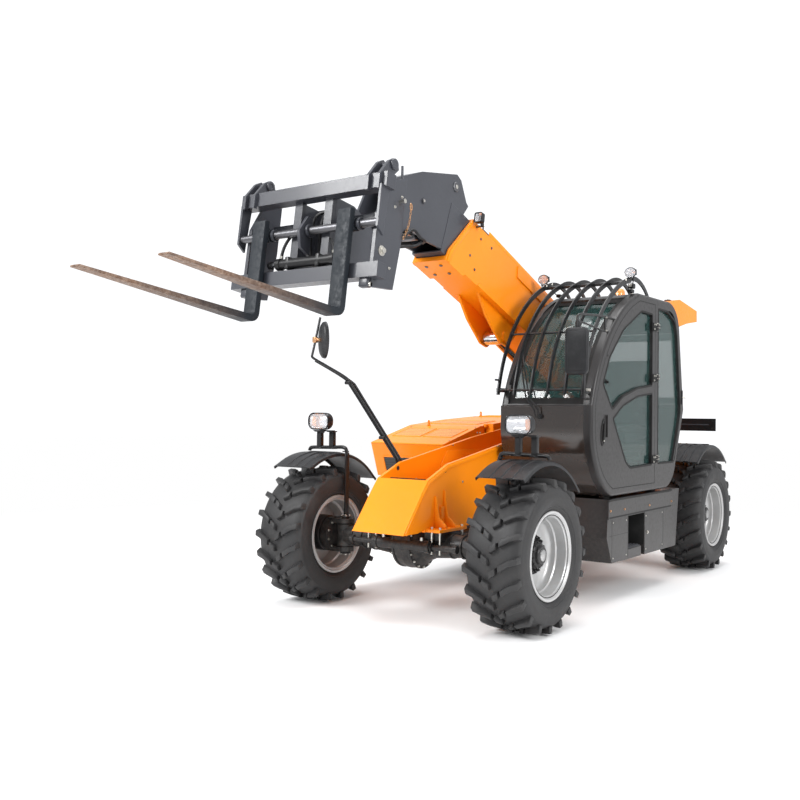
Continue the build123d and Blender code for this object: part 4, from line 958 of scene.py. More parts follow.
class HANDLER_OT_cab(bpy.types.Operator):
    """Door and window seals, dark glass borders, hinges, handle, wiper and roof fittings of the cab"""
    bl_idname = "handler.cab"
    bl_label = "Cab fittings"

    def execute(self, context):
        bm = bmesh.new()
        # seal round the door opening, gutter over the roof edge, quarter window seal
        bead(bm, clipped(inset(CAB_EDGE, 59.5), 1928), 966, 1000.5, 2.4)
        quarter = [(1996, 1014), (2380, 1014), (2530, 1440), (2436, 2106), (2380, 2200), (2200, 2266), (1996,
                                                                                                        2266)]
        bead(bm, softened(quarter, 40), 974, 1001.5, 7)
        for x0, x1 in ((330, 372), (894, 934)):
            bead(bm, inset(CAB_FRONT[2:-1], 14, False), x0, x1, 3.2, closed=False)
        x0, x1 = 334, 930
        for z0, z1 in ((1476, 1520), (2262, 2322)):
            border = [on_front(x, z, -11) for x, z in ((x0, z0), (x1, z0), (x1, z1), (x0, z1))]
            plate(bm, border, REARWARD * 0.003)
        # rear window border
        for d0, z0, d1, z1 in ((2598, 1504, 2588, 1560), (2513, 2048, 2504, 2106)):
            plate(bm, [at(x0, d0, z0), at(x1, d0, z0), at(x1, d1, z1), at(x0, d1, z1)], REARWARD * 0.003)
        seals = finish(bm, "cab_seals", "chassis", "rubber", smooth=40)

        bm = bmesh.new()
        # hinge halves on the pillar, latch post behind, roof beacon stand, door stop
        for z in HINGE_HEIGHTS:
            rounded_block(bm, (12, 46, 44), at(1006, 1976, z + 12), 4)
            for dz in (0, 24):
                hexagon_head(bm, at(1011, 1984, z + dz), ACROSS, 11, 6, 1)
            bar(bm, at(1014, 1938, z - 30), at(1014, 1938, z + 34), 7, 12, material=1)
        rounded_block(bm, (10, 24, 120), at(1003, 2560, 1560), 4)
        bar(bm, at(1002, 2560, 1560), at(1030, 2575, 1556), 6, 10, material=1)
        for x in (940, 330):
            rounded_block(bm, (34, 60, 26), at(x, 1560, 2366), 5)
        # wiper: motor boss, twin arm, blade
        bar(bm, at(600, 722, 1385), at(600, 694, 1385), 19, 20)
        bar(bm, at(600, 696, 1385), at(600, 688, 1385), 12, 20)
        for dx, root in ((0, 1385), (-26, 1372)):
            line = [at(600 + dx, 694, root), at(590 + dx, 684, root + 60), at(520 + dx, 690, 1520),
                    at(430 + dx, 778, 1760),
                    on_front(345 + dx * 0.4, 1900, 34)]
            chain_of_bars(bm, line, 5.5, 10)
        blade = [on_front(336 + 18 * (z - 1900) / 300, z, 12) for z in range(1620, 2181, 56)]
        chain_of_bars(bm, blade, 6, 8)
        bar(bm, on_front(338, 1900, 34), on_front(336, 1900, 10), 7, 10)
        fittings = finish(bm, "cab_fittings", "chassis", "plastic", "bolt", smooth=38)

        bm = bmesh.new()
        for k, window in enumerate(DOOR_WINDOWS):
            loop = window if k else window[::-1]
            area = sum(a[0] * b[1] - a[1] * b[0] for a, b in zip(loop, loop[1:] + loop[:1]))
            loop = softened(loop if area > 0 else loop[::-1], 22)
            bead(bm, loop, 972, 1002, 7)
        # edge seal on the door leaf
        bead(bm, clipped(inset(CAB_EDGE, 64.5), 1923), 960, 999, 2.4)
        for z in HINGE_HEIGHTS:
            rounded_block(bm, (16, 74, 62), at(1010, 1884, z), 5)
            rounded_block(bm, (12, 34, 30), at(1012, 1918, z - 12), 4)
            for dd, dz in ((-22, -18), (-22, 18), (12, 18)):
                hexagon_head(bm, at(1018, 1884 + dd, z + dz), ACROSS, 11, 6, 1)
        # handle: oval dish with a lever
        dish = [(0, 0), (-3, 14), (-8, 24), (-6, 30), (2, 32), (4, 35), (2, 38), (-6, 38)]
        part = bmesh.new()
        turned(part, dish, Vector(), steps=40, closed=False)
        oval = lean(-8).to_4x4() @ Matrix.Diagonal((1, 0.95, 2.6, 1))
        add(bm, part, Matrix.Translation(at(1002, 908, 1276)) @ oval, 0)
        rounded_block(bm, (12, 22, 120), at(1007, 916, 1280), 5, turn=lean(-8))
        bar(bm, at(1004, 912, 1216), at(1010, 912, 1216), 9, 16, material=1)
        # hold-open buttons on the inner frame
        for d, z in ((1000, 1640), (985, 1830)):
            bar(bm, at(960, d, z), at(985, d, z), 18, 20)
            bar(bm, at(985, d, z), at(1001, d, z), 9, 16)
        door = finish(bm, "door_fittings", "door", "rubber", "bolt", smooth=40)
        return {"FINISHED"}


class HANDLER_OT_roof(bpy.types.Operator):
    """Oval work lamps over the windscreen, clamps of the guard, beacon, hinge bracket, camera and hoses"""
    bl_idname = "handler.roof"
    bl_label = "Roof lamps and guard"

    def execute(self, context):
        for name, x, d, z, diode in (("right", 265, 1412, 2488, "copper"), ("left", 975, 1470, 2497,
                                                                            "reflector")):
            bm = bmesh.new()
            part = bmesh.new()
            shell = [(34, 0), (32, 20), (20, 36), (4, 45), (-14, 47), (-20, 46), (-20, 42), (-8, 40), (-4,
                                                                                                       36), (-4, 0)]
            turned(part, shell, Vector(), axis=REARWARD, steps=44, closed=False)
            for f in part.faces:
                c = f.calc_center_median()
                f.material_index = 1 if c.y < -0.002 and hypot(c.x, c.z) < 0.041 else 0
            for z0 in (0.012, -0.012):
                for x0 in (-0.0255, -0.0085, 0.0085, 0.0255):
                    bar(part, Vector((x0, -0.012, z0)), Vector((x0, -0.003, z0)), 8, 12, 5, 3)
            bar(part, Vector((0, -0.018, 0)), Vector((0, -0.0155, 0)), 42, 40, material=2)
            # fins at the back
            for i in range(-3, 4):
                brick(part, (2.2, 18, 52), Vector((i * 0.011, 0.03, 0)))
            oval = lean(6).to_4x4() @ Matrix.Diagonal((1.0, 0.8, 0.84, 1))
            add(bm, part, Matrix.Translation(at(x, d, z)) @ oval)
            for dx in (-20, 20):
                rounded_block(bm, (5, 16, 46), at(x + dx, d + 4, z - 34), 2)
            rounded_block(bm, (52, 20, 6), at(x, d + 4, z - 44), 2.5)
            lamp = finish(bm, "roof_lamp_" + name, "chassis", "plastic", "reflector", "lens",
                          diode, smooth=42)
            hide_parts("work_lamps")
        bm = bmesh.new()
        # clamps where the cross rods meet the bars, feet with bolts
        for x in (290, 424, 558, 692, 826, 960):
            for d, z in ((650, 1575), (850, 2000)):
                rounded_block(bm, (16, 22, 22), at(x, d, z), 4)
        for x, way in ((290, -1), (960, 1)):
            hexagon_head(bm, at(x + 15 * way, 700, 1575), ACROSS * way, 16, 9, 1)
            for d, z in ((1400, 2424), (1500, 2450)):
                bar(bm, at(x, d, z), at(x, d + 4, z + 16), 8, 12, material=1)
        # lower hinge bracket and knob beside the windscreen
        rounded_block(bm, (10, 34, 190), at(968, 655, 1610), 4)
        rounded_block(bm, (12, 150, 26), at(972, 730, 1560), 5)
        bar(bm, at(972, 676, 1573), at(1004, 676, 1573), 11, 16, material=1)
        rounded_block(bm, (12, 60, 14), at(282, 640, 1650), 4)
        # camera and plug beside the left lamp
        rounded_block(bm, (44, 56, 40), at(930, 1600, 2410), 9)
        bar(bm, at(930, 1572, 2412), at(930, 1564, 2412), 14, 16, material=1)
        bar(bm, at(930, 1606, 2352), at(930, 1606, 2392), 6, 10, material=1)
        guard = finish(bm, "guard_fittings", "chassis", "black", "bolt", smooth=38)
        for name, line, r in (
                ("lamp_lead_left", [(975, 1492, 2480), (972, 1530, 2452), (952, 1556, 2402), (930, 1600,
                                                                                              2392)], 4),
                ("lamp_lead_right", [(265, 1434, 2474), (282, 1470, 2440), (300, 1520, 2390), (320, 1560,
                                                                                               2362)], 4),
                ("visor_drain", [(820, 2650, 2262), (842, 2700, 2196), (846, 2700, 2160), (842, 2660, 2120),
                                 (836, 2560, 2118)], 8)):
            lead = pipe([at(*p) for p in line], r, name, "chassis", "hose")
        # beacon on the roof
        bm = bmesh.new()
        foot, dome = [(0, 0), (0, 62), (8, 62), (12, 54), (26, 54), (26, 0)], [(26, 0), (26, 50), (92, 46),
                                                                               (108, 38), (116, 20), (118, 0)]
        for material, profile in enumerate((foot, dome)):
            turned(bm, profile, at(620, 2100, 2352), axis=UP, steps=36, material=material, closed=False)
        beacon = finish(bm, "roof_beacon", "chassis", "plastic", "amber", smooth=40)
        return {"FINISHED"}


class HANDLER_OT_mirrors(bpy.types.Operator):
    """Wing mirror on its tube frame and the round mirror on its double stalk"""
    bl_idname = "handler.mirrors"
    bl_label = "Mirrors"

    def execute(self, context):
        bm = bmesh.new()
        part = bmesh.new()
        brick(part, (168, 46, 326), Vector())
        round_off(part, along_y(part), 0.036, 7)
        round_off(part, [e for e in part.edges if e.calc_face_angle(0) > radians(60)], 0.014, 4)
        add(bm, part, Matrix.Translation(at(980, 506, 1834)), 0)
        part = bmesh.new()
        brick(part, (146, 5, 300), Vector())
        round_off(part, along_y(part), 0.02, 5)
        add(bm, part, Matrix.Translation(at(980, 529.5, 1834)), 1)
        # rib and clamp on the back of the housing
        rounded_block(bm, (120, 8, 270), at(980, 485, 1834), 3.5)
        rounded_block(bm, (34, 26, 60), at(980, 520, 2012), 8)
        housing = finish(bm, "wing_mirror_head", "chassis", "plastic", "mirror", smooth=45)
        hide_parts("wing_mirror")
        bm = bmesh.new()
        rounded_block(bm, (10, 26, 120), at(978, 984, 2060), 4)
        for z in (2106, 2012):
            hexagon_head(bm, at(984, 984, z), ACROSS, 13, 8, 1)
        rounded_block(bm, (40, 44, 30), at(968, 1186, 2106), 8)
        rounded_block(bm, (40, 40, 28), at(968, 1070, 2000), 8)
        bracket = finish(bm, "wing_mirror_bracket", "chassis", "black", "bolt", smooth=38)
        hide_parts("wing_mirror")
        frame_lines = (
            ("wing_mirror_arm", [(978, 1180, 2104), (978, 1080, 2112), (978, 900, 2112), (980, 640, 2098),
                                 (980, 540, 2092),
                                 (980, 508, 2066), (980, 508, 1990)], 9),
            ("wing_mirror_brace", [(978, 1066, 2004), (978, 900, 2010), (980, 700, 2030), (980, 560, 2040),
                                   (980, 512, 2044)], 7),
        )
        for name, line, r in frame_lines:
            arm = pipe([at(*p) for p in line], r, name, "chassis", "black")
            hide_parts("wing_mirror")

        # round mirror: oval convex glass that looks back to the driver
        look = Vector((0.51, 0.86, 0.0)).normalized()
        centre = at(-665, -230, 1919)
        part = bmesh.new()
        turned(part, [(-21, 0), (-20, 44), (-13, 70), (0, 82), (14, 84.5), (20, 84.5), (20, 79), (12, 77),
                      (12, 0)], Vector(),
               steps=56, closed=False)
        turned(part, [(12, 77.5), (15, 60), (18, 34), (19, 0)], Vector(), steps=56, material=1, closed=False)
        bm = bmesh.new()
        add(bm, part, Matrix.Translation(centre) @ Matrix.Rotation(atan2(look.y, look.x), 4,
                                                                   "Z") @ Matrix.Diagonal((1, 1, 1.59, 1)))
        bar(bm, centre - look * 0.05, centre - look * 0.018, 13, 16, material=2)
        rounded_block(bm, (34, 34, 44), at(-705, -268, 1919), 8, material=2)
        head = finish(bm, "round_mirror_head", "chassis", "plastic", "mirror", "copper", smooth=42)
        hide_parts("round_mirror")
        tubes = (
            [(-224, 140, 960), (-224, 112, 1056), (-230, 106, 1072), (-500, -100, 1606), (-526, -124, 1652),
             (-690, -292, 1778),
             (-705, -306, 1796), (-702, -296, 1820), (-702, -219, 2084)],
            [(-250, 146, 960), (-250, 118, 1056), (-256, 112, 1072), (-526, -94, 1606), (-552, -118, 1652),
             (-702, -270, 1768)],
            [(-224, 166, 960), (-224, 138, 1056), (-230, 132, 1072), (-480, -62, 1574), (-500, -84, 1622),
             (-660, -240, 1750)],
        )
        for k, line in enumerate(tubes):
            tube = pipe([at(*p) for p in line], 9, "round_mirror_stalk_" + "abc"[k], "chassis", "black")
            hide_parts("round_mirror")
        bm = bmesh.new()
        for x, d, z in ((-312, 48, 1218), (-512, -104, 1612)):
            rounded_block(bm, (48, 46, 24), at(x - 10, d, z), 6)
        rounded_block(bm, (14, 70, 120), at(-219, 140, 985), 4)
        for z in (955, 1015):
            hexagon_head(bm, at(-226, 158, z), -ACROSS, 14, 9, 1)
        clamps = finish(bm, "round_mirror_clamps", "chassis", "black", "bolt", smooth=38)
        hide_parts("round_mirror")
        return {"FINISHED"}


def padded_block(bm, size, centre, turn):
    """Cushion: a finely divided block with drawn-in corners, raised bolsters and two seams on its top."""
    crown = 0.008
    part = bmesh.new()
    brick(part, size, Vector())
    bmesh.ops.subdivide_edges(part, edges=part.edges[:], cuts=9, use_grid_fill=True)
    sx, sy, sz = (s / 2000 for s in size)
    for v in part.verts:
        x, y, z = v.co.x / sx, v.co.y / sy, v.co.z / sz
        v.co.x *= 1 - 0.07 * y * y * z * z - 0.05 * z * z
        v.co.y *= 1 - 0.09 * x * x * z * z - 0.06 * z * z
        bolster = max(0.0, abs(x) - 0.62) / 0.38
        flat = (1 - min(1.0, abs(x)) ** 6) * (1 - min(1.0, abs(y)) ** 6)
        if z > 0.9:
            v.co.z += crown * (1 - y * y) + 0.02 * sin(bolster * pi) - 0.012 * (1 - flat)
            v.co.z -= 0.010 * max(0.0, 1 - abs(abs(x) - 0.6) / 0.07)
    add(bm, part, Matrix.Translation(centre) @ turn.to_4x4())


class HANDLER_OT_seat(bpy.types.Operator):
    """Suspension seat with padded cushion and backrest, armrests, levers and dials at the wheel"""
    bl_idname = "handler.seat"
    bl_label = "Seat and controls"

    def execute(self, context):
        for name, size, centre, turn in (
                ("seat_cushion", (470, 500, 104), at(SEAT_X, 1866, 1246), lean(4)),
                ("seat_backrest", (430, 560, 96), at(SEAT_X, 2206, 1590), lean(78))):
            bm = bmesh.new()
            padded_block(bm, size, centre, turn)
            cushion = finish(bm, name, "chassis", "cloth", smooth=60)
            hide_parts("seat")
        bm = bmesh.new()
        # base rails, bellows, side plates, armrests
        for k in range(5):
            rounded_block(bm, (330 + 20 * (k % 2), 380 + 20 * (k % 2), 44), at(SEAT_X, 1900, 900 + 46 * k),
                          14, 3)
        rounded_block(bm, (360, 420, 36), at(SEAT_X, 1900, 863), 8)
        rounded_block(bm, (440, 470, 40), at(SEAT_X, 1870, 1172), 12)
        rounded_block(bm, (400, 50, 500), at(SEAT_X, 2262, 1560), 20, turn=lean(-12))
        for x in (392, 888):
            rounded_block(bm, (66, 300, 46), at(x, 2010, 1440), 20)
            rounded_block(bm, (20, 60, 220), at(x - (14 if x > 600 else -14), 2150, 1360), 8)
        # joystick on the right armrest, levers beside the column
        bar(bm, at(392, 1880, 1450), at(392, 1868, 1560), 8, 12)
        rounded_block(bm, (40, 44, 80), at(392, 1864, 1590), 18)
        for x, d, z in ((760, 1330, 1470), (540, 1330, 1440)):
            bar(bm, at(SEAT_X, 1290, 1450), at(x, d, z), 6, 10)
            rounded_block(bm, (46, 18, 18), at(x, d, z), 8)
        rounded_block(bm, (150, 60, 110), at(420, 850, 1500), 18, turn=lean(-12))
        rounded_block(bm, (60, 40, 40), at(SEAT_X, 812, 1462), 12)
        seat = finish(bm, "seat_frame", "chassis", "plastic", smooth=40)
        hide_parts("seat")
        return {"FINISHED"}


class HANDLER_OT_boom(bpy.types.Operator):
    """Pad bolts, oil pipes with clamps and the work lamp on the outer boom"""
    bl_idname = "handler.boom"
    bl_label = "Outer boom fittings"

    def execute(self, context):
        top = 215
        bm = bmesh.new()
        for side in (1, -1):
            for u, v in ((2804, 136), (2971, 136), (2898, -52), (3073, -52), (2804, -120), (2640, 150)):
                hexagon_head(bm, boom_at(side * 142, u, v), ACROSS * side, 17, 5)
            for u in (2990, 3110):
                bar(bm, boom_at(side * 62, u, -241), boom_at(side * 62, u, -246), 13, 20)
        for u in (500, 1100, 1700, 2350):
            bar(bm, boom_at(0, u, top), boom_at(0, u, top + 5), 15, 20)
        bolts = finish(bm, "boom_pad_bolts", "boom", "dark_steel", smooth=35)

        bm = bmesh.new()
        # clamps over the pipes, lamp foot, collar round the mouth
        for u in (520, 1160, 1800, 2446):
            rounded_block(bm, (106, 34, 30), boom_at(84, u, top + 18), 4, turn=lean(-BOOM_ANGLE))
            bar(bm, boom_at(84, u, top + 30), boom_at(84, u, top + 46), 8, 6)
        guide = ((2700, top), (2700, top + 44), (1500, top + 44), (1500, top))
        plate(bm, [boom_at(132, u, v) for u, v in guide], ACROSS * 0.003)
        collar = ((2925, top), (2960, top), (3150, -150), (3165, -240), (3130, -240), (3112, -150))
        for side in (1, -1):
            plate(bm, [boom_at(side * 142, u, v) for u, v in collar], ACROSS * side * 0.006)
        trim = finish(bm, "boom_clamps", "boom", "orange", smooth=35, bevel=0.0012)

        for k, x in enumerate((52, 84, 116)):
            line = [(x, 2820, top - 8), (x, 2790, top + 14), (x, 2740, top + 18), (x, 1500, top + 18), (x,
                                                                                                        330, top + 18),
                    (x, 200, top - 8), (x, 40, top - 84)]
            tube = pipe([boom_at(*p) for p in line], 13, "boom_hose_" + "abc"[k], "boom", "hose")

        bm = bmesh.new()
        add(bm, lamp_shell(66, 76, 52, 14, 5), Matrix.Translation(at(190, 522, 2837)) @ lean(-8).to_4x4())
        rounded_block(bm, (52, 6, 62), at(190, 500, 2838), 2.8, turn=lean(-8), material=2)
        rounded_block(bm, (10, 30, 62), at(190, 552, 2806), 3)
        rounded_block(bm, (66, 26, 8), at(168, 560, 2782), 3)
        hexagon_head(bm, at(160, 560, 2786), UP, 13, 8, 3)
        lamp = finish(bm, "boom_work_lamp", "boom", "plastic", "reflector", "lens",
                      "bolt", smooth=40)
        lead = pipe([at(190, 560, 2830), at(182, 590, 2812), at(150, 640, 2794), at(112, 700, 2770)], 5,
                    "boom_lamp_lead",
                    "boom", "hose")
        return {"FINISHED"}


class HANDLER_OT_head(bpy.types.Operator):
    """Pin caps, bolts, a grease manifold and hose loops of the boom head"""
    bl_idname = "handler.head"
    bl_label = "Boom head fittings"

    def execute(self, context):
        bm = bmesh.new()
        for side in (1, -1):
            out = ACROSS * side
            turned(bm, [(0, 20), (0, 36), (5, 36), (8, 32), (8, 20)], at(side * 121, *TILT_BASE), axis=out,
                   steps=32)
            bar(bm, at(side * 129, *TILT_BASE), at(side * 131, *TILT_BASE), 15, 24, material=1)
            bar(bm, at(side * 121, -118, 2849), at(side * 132, -118, 2849), 17, 24)
            bar(bm, at(side * 132, -118, 2849), at(side * 135, -118, 2849), 9, 6, material=1)
            for u, v in ((3960, -585), (3935, -520)):
                hexagon_head(bm, boom_at(side * 121, u, v), out, 12, 6, 1)
        # grease manifold and hose brackets under the head
        rounded_block(bm, (150, 60, 50), boom_at(0, 3470, -210), 8)
        for x in (-50, -17, 17, 50):
            bar(bm, boom_at(x, 3500, -215), boom_at(x, 3540, -228), 11, 6, material=1)
        caps = finish(bm, "boom_head_fittings", "inner_boom", "dark_steel", "bolt", smooth=35)
        loops = (
            # hoses hang in loops between the boom's mouth and the head's tip
            [(30, 3330, -180), (90, 3400, -218), (146, 3450, -246), (152, 3530, -262), (152, 3620, -238),
             (150, 3700, -360),
             (120, 3770, -470), (90, 3850, -540)],
            [(0, 3330, -180), (80, 3410, -218), (138, 3470, -262), (148, 3560, -350), (140, 3640, -390), (112,
                                                                                                          3720, -440),
             (88, 3830, -520)],
            [(-60, 3340, -180), (-88, 3440, -236), (-92, 3560, -300), (-92, 3690, -300), (-92, 3800, -420),
             (-88, 3850, -520)],
        )
        for k, line in enumerate(loops):
            hose = pipe([boom_at(*p) for p in line], context.scene.handler_sizes.hose,
                        "head_hose_" + "abc"[k], "inner_boom",
                        "hose", resolution=10)
        return {"FINISHED"}


class HANDLER_OT_carriage(bpy.types.Operator):
    """Pins, stops, lock pin with its chain, hoses and shift cylinder of the fork carriage"""
    bl_idname = "handler.carriage"
    bl_label = "Carriage fittings"

    def execute(self, context):
        turn = lean(-CARRIAGE_TILT)
        bm = bmesh.new()
        for side in (1, -1):
            out = ACROSS * side
            # ring caps on the upper pins
            for x, way in ((541, out), (439, -out)):
                turned(bm, [(0, 16), (0, 34), (9, 34), (13, 30), (13, 16)], fork_at(side * x, 385, 345),
                       axis=way,
                       steps=32)
            # carrying bolt with its washer on the side plate
            face = at(side * 512, -1107, 2325)
            bar(bm, face, face + out * 0.006, 30, 28, material=1)
            hexagon_head(bm, face + out * 0.006, out, 30, 18, 1)
            for u, v in ((350, -300), (300, -250), (240, 200), (300, 120)):
                hexagon_head(bm, fork_at(side * 512, u, v), out, 13, 8, 1)
            # stops beside the forks on the shaft
            for x in (262, 408):
                turned(bm, [(-9, 24.5), (-9, 36), (9, 36), (9, 24.5)], fork_at(side * x, *FORK_SHAFT),
                       steps=28)
            # hook blocks under the low bar
            rounded_block(bm, (70, 46, 60), fork_at(side * 470, 452, -372), 12, turn=turn)
            bar(bm, fork_at(side * 430, 452, -384), fork_at(side * 512, 452, -384), 14, 20, material=1)
        # centre stop over the shaft
        stop = ((436, 60), (482, 66), (545, -40), (520, -140), (436, -170))
        plate(bm, [fork_at(-14, u, v) for u, v in stop], ACROSS * 0.022)
        for side in (1, -1):
            turned(bm, [(-8, 24.5), (-8, 40), (8, 40), (8, 24.5)], fork_at(side * 24, *FORK_SHAFT), steps=28)
        pieces = finish(bm, "carriage_fittings", "carriage", "slate", "bolt", smooth=35, bevel=0.001,
                        segments=1)

        bm = bmesh.new()
        # shift cylinder: barrel with heads, rod and ports
        shift_u, shift_v = 466.3, -215
        for x0, x1, r, material in ((-204, 239, 31, 0), (-212, -180, 37, 0), (214, 246, 37, 0), (-262, -212,
                                                                                                 15, 1),
                                    (-282, -262, 24, 0)):
            bar(bm, fork_at(x0, shift_u, shift_v), fork_at(x1, shift_u, shift_v), r, 32, material=material)
        for x in (-190, 224):
            bar(bm, fork_at(x, shift_u, shift_v + 26), fork_at(x, shift_u, shift_v + 52), 12, 6, material=2)
        for x in (-120, 120):
            rounded_block(bm, (30, 70, 76), fork_at(x, shift_u - 6, shift_v), 6, turn=turn)
        cylinder = finish(bm, "shift_cylinder", "carriage", "black", "chrome", "bolt", smooth=35)
        lines = (
            [(-190, 466, -163), (-190, 462, -110), (-150, 440, -20), (-90, 390, 60), (-62, 330, 60), (-58,
                                                                                                      290, 20)],
            [(224, 466, -163), (214, 462, -120), (160, 430, -90), (90, 380, -20), (62, 330, 20), (58, 290,
                                                                                                  -20)],
            [(-30, 300, 150), (-34, 350, 130), (-36, 392, 60), (-36, 392, -120), (-30, 350, -200), (-26, 300,
                                                                                                    -210)],
            [(30, 300, 150), (34, 350, 130), (36, 392, 60), (36, 392, -120), (30, 350, -200), (26, 300,
                                                                                               -210)],
        )
        for k, line in enumerate(lines):
            hose = pipe([fork_at(*p) for p in line], 10, "carriage_hose_" + "abcd"[k], "carriage", "hose",
                        resolution=10)

        # lock pin with a ring, a chain and a lever rod at the left side plate
        bm = bmesh.new()
        bar(bm, at(508, -930, 2641), at(545, -930, 2641), 11, 20)
        bar(bm, at(545, -930, 2641), at(552, -930, 2641), 15, 6)
        bar(bm, at(500, -892, 2700), at(500, -892, 2862), 8, 16, material=1)
        ring = bmesh.new()
        turned(ring, [(x, 20 + r) for x, r in around(6, 4)], Vector(), steps=24)
        add(bm, ring, Matrix.Translation(at(548, -866, 2618)) @ Matrix.Rotation(radians(20), 4, "Z"), 2)
        start, end = at(546, -866, 2596), at(522, -905, 2430)
        links = 11
        for k in range(links):
            link = bmesh.new()
            turned(link, [(x, 5.5 + r) for x, r in around(4, 1.8)], Vector(), steps=12)
            share = k / (links - 1)
            place = start.lerp(end, share) + REARWARD * (0.016 * sin(pi * share))
            turn = Matrix.Rotation(radians(90 * (k % 2)), 4, "Z") @ Matrix.Diagonal((1, 1, 1.7, 1))
            add(bm, link, Matrix.Translation(place) @ turn, 2)
        lever = [at(532, -1105, 2520), at(540, -1122, 2600), at(534, -1100, 2700)]
        chain_of_bars(bm, lever, 9, 12, material=1)
        lock = finish(bm, "carriage_lock_pin", "carriage", "bolt", "slate", "copper", smooth=40)
        return {"FINISHED"}


class HANDLER_OT_forks(bpy.types.Operator):
    """Forged forks: rounded heels, tapered blades, eyes round the shaft"""
    bl_idname = "handler.forks"
    bl_label = "Forks"

    def execute(self, context):
        back, thick, blade, length = 502, 42, -541, 1280

        def bend(u, v, r, step):
            """Quarter round from the shank to the blade."""
            return [(u + r * (1 - cos(radians(a))), v + r * (1 - sin(radians(a)))) for a in range(0, 91,
                                                                                                  step)]

        tip, sole, front = back + length, blade - thick, back + thick
        outline = [(back, 60)] + bend(back, sole, 62, 15) + [(tip - 6, sole), (tip, sole + 5), (tip - 8,
                                                                                                sole + 13)]
        outline += bend(front, blade, 26, 18)[::-1] + [(front, 50), (front - 6, 57)]
        bm = bmesh.new()
        for x in (-FORK_X, FORK_X):
            part = bmesh.new()
            plate(part, [fork_at(x - 49.5, u, v) for u, v in outline], ACROSS * 0.099)
            # the blade narrows towards its tip
            for v in part.verts:
                reach = (-v.co.y - 2.272) / 0.9
                if reach > 0:
                    v.co.x = x / 1000 + (v.co.x - x / 1000) * (1 - 0.22 * min(1.0, reach) ** 2)
            bmesh.ops.recalc_face_normals(part, faces=part.faces)
            edges = [e for e in part.edges if len(e.link_faces) == 2 and e.calc_face_angle(0) > radians(50)]
            round_off(part, edges, 0.004, 3)
            add(bm, part)
            part = bmesh.new()
            turned(part, [(-49, 24.6), (-49, 37), (-46, 39), (46, 39), (49, 37), (49, 24.6)], Vector(),
                   steps=36)
            add(bm, part, Matrix.Translation(fork_at(x, *FORK_SHAFT)))
            web = ((484, 12), (506, 22), (506, -72), (484, -62))
            plate(bm, [fork_at(x - 44, u, v) for u, v in web], ACROSS * 0.088)
        forks = finish(bm, "fork_pair", "carriage", "fork", smooth=32)
        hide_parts("forks")
        return {"FINISHED"}


def cylinder_dressing(name, body, base, end, foot, length, r, rod_r):
    """Head with gland, weld rings, ports and the oil pipe of a barrel between two places of the d, z plane."""
    start, stop = at(0, *base), at(0, *end)
    way = (stop - start).normalized()
    side = Vector((0, -way.z, way.y))
    bm = bmesh.new()

    def on(u, x=0.0, v=0.0):
        return start + way * (u / 1000) + side * (v / 1000) + Vector((x / 1000, 0, 0))

    turned(bm, [(length - 58, r), (length - 58, r + 6), (length - 8, r + 6), (length, r + 2), (length,
                                                                                               rod_r + 1.5),
                (length - 4, rod_r + 1.5), (length - 4, r)], start, axis=way, steps=40)
    turned(bm, [(length, rod_r + 1.5), (length, rod_r + 9), (length + 7, rod_r + 6), (length + 7,
                                                                                      rod_r + 1.5)], start, axis=way,
           steps=32, material=2)
    turned(bm, [(foot, r), (foot, r + 5), (foot + 12, r + 5), (foot + 18, r)], start, axis=way, steps=40)
    for u in (foot + 46, length - 90):
        bar(bm, on(u, r - 4), on(u, r + 20), 15, 24)
        hexagon_head(bm, on(u, r + 20), ACROSS, 22, 16, 1)
    for u in (foot + 160, length - 220):
        bar(bm, on(u, r - 2), on(u, r + 16), 7, 10)
    piece = finish(bm, name + "_head", body, "black", "bolt", "rubber", smooth=35)
    line = [on(length - 90, r + 28), on(length - 120, r + 30), on(length - 180, r + 20), on(length - 260,
                                                                                            r + 17),
            on(foot + 200, r + 17), on(foot + 100, r + 18), on(foot + 46, r + 28)]
    tube = pipe(line, 7, name + "_pipe", body, "steel")


class HANDLER_OT_cylinders(bpy.types.Operator):
    """Glands, ports and pipes on the lift and tilt cylinders"""
    bl_idname = "handler.cylinders"
    bl_label = "Cylinders"

    def execute(self, context):
        cylinder_dressing("lift_barrel", "lift_cylinder", LIFT_BASE, LIFT_EYE, 60, 1560, 62, 36)
        cylinder_dressing("tilt_barrel", "tilt_cylinder", TILT_BASE, TILT_EYE, 40, 760, 46, 25)
        return {"FINISHED"}


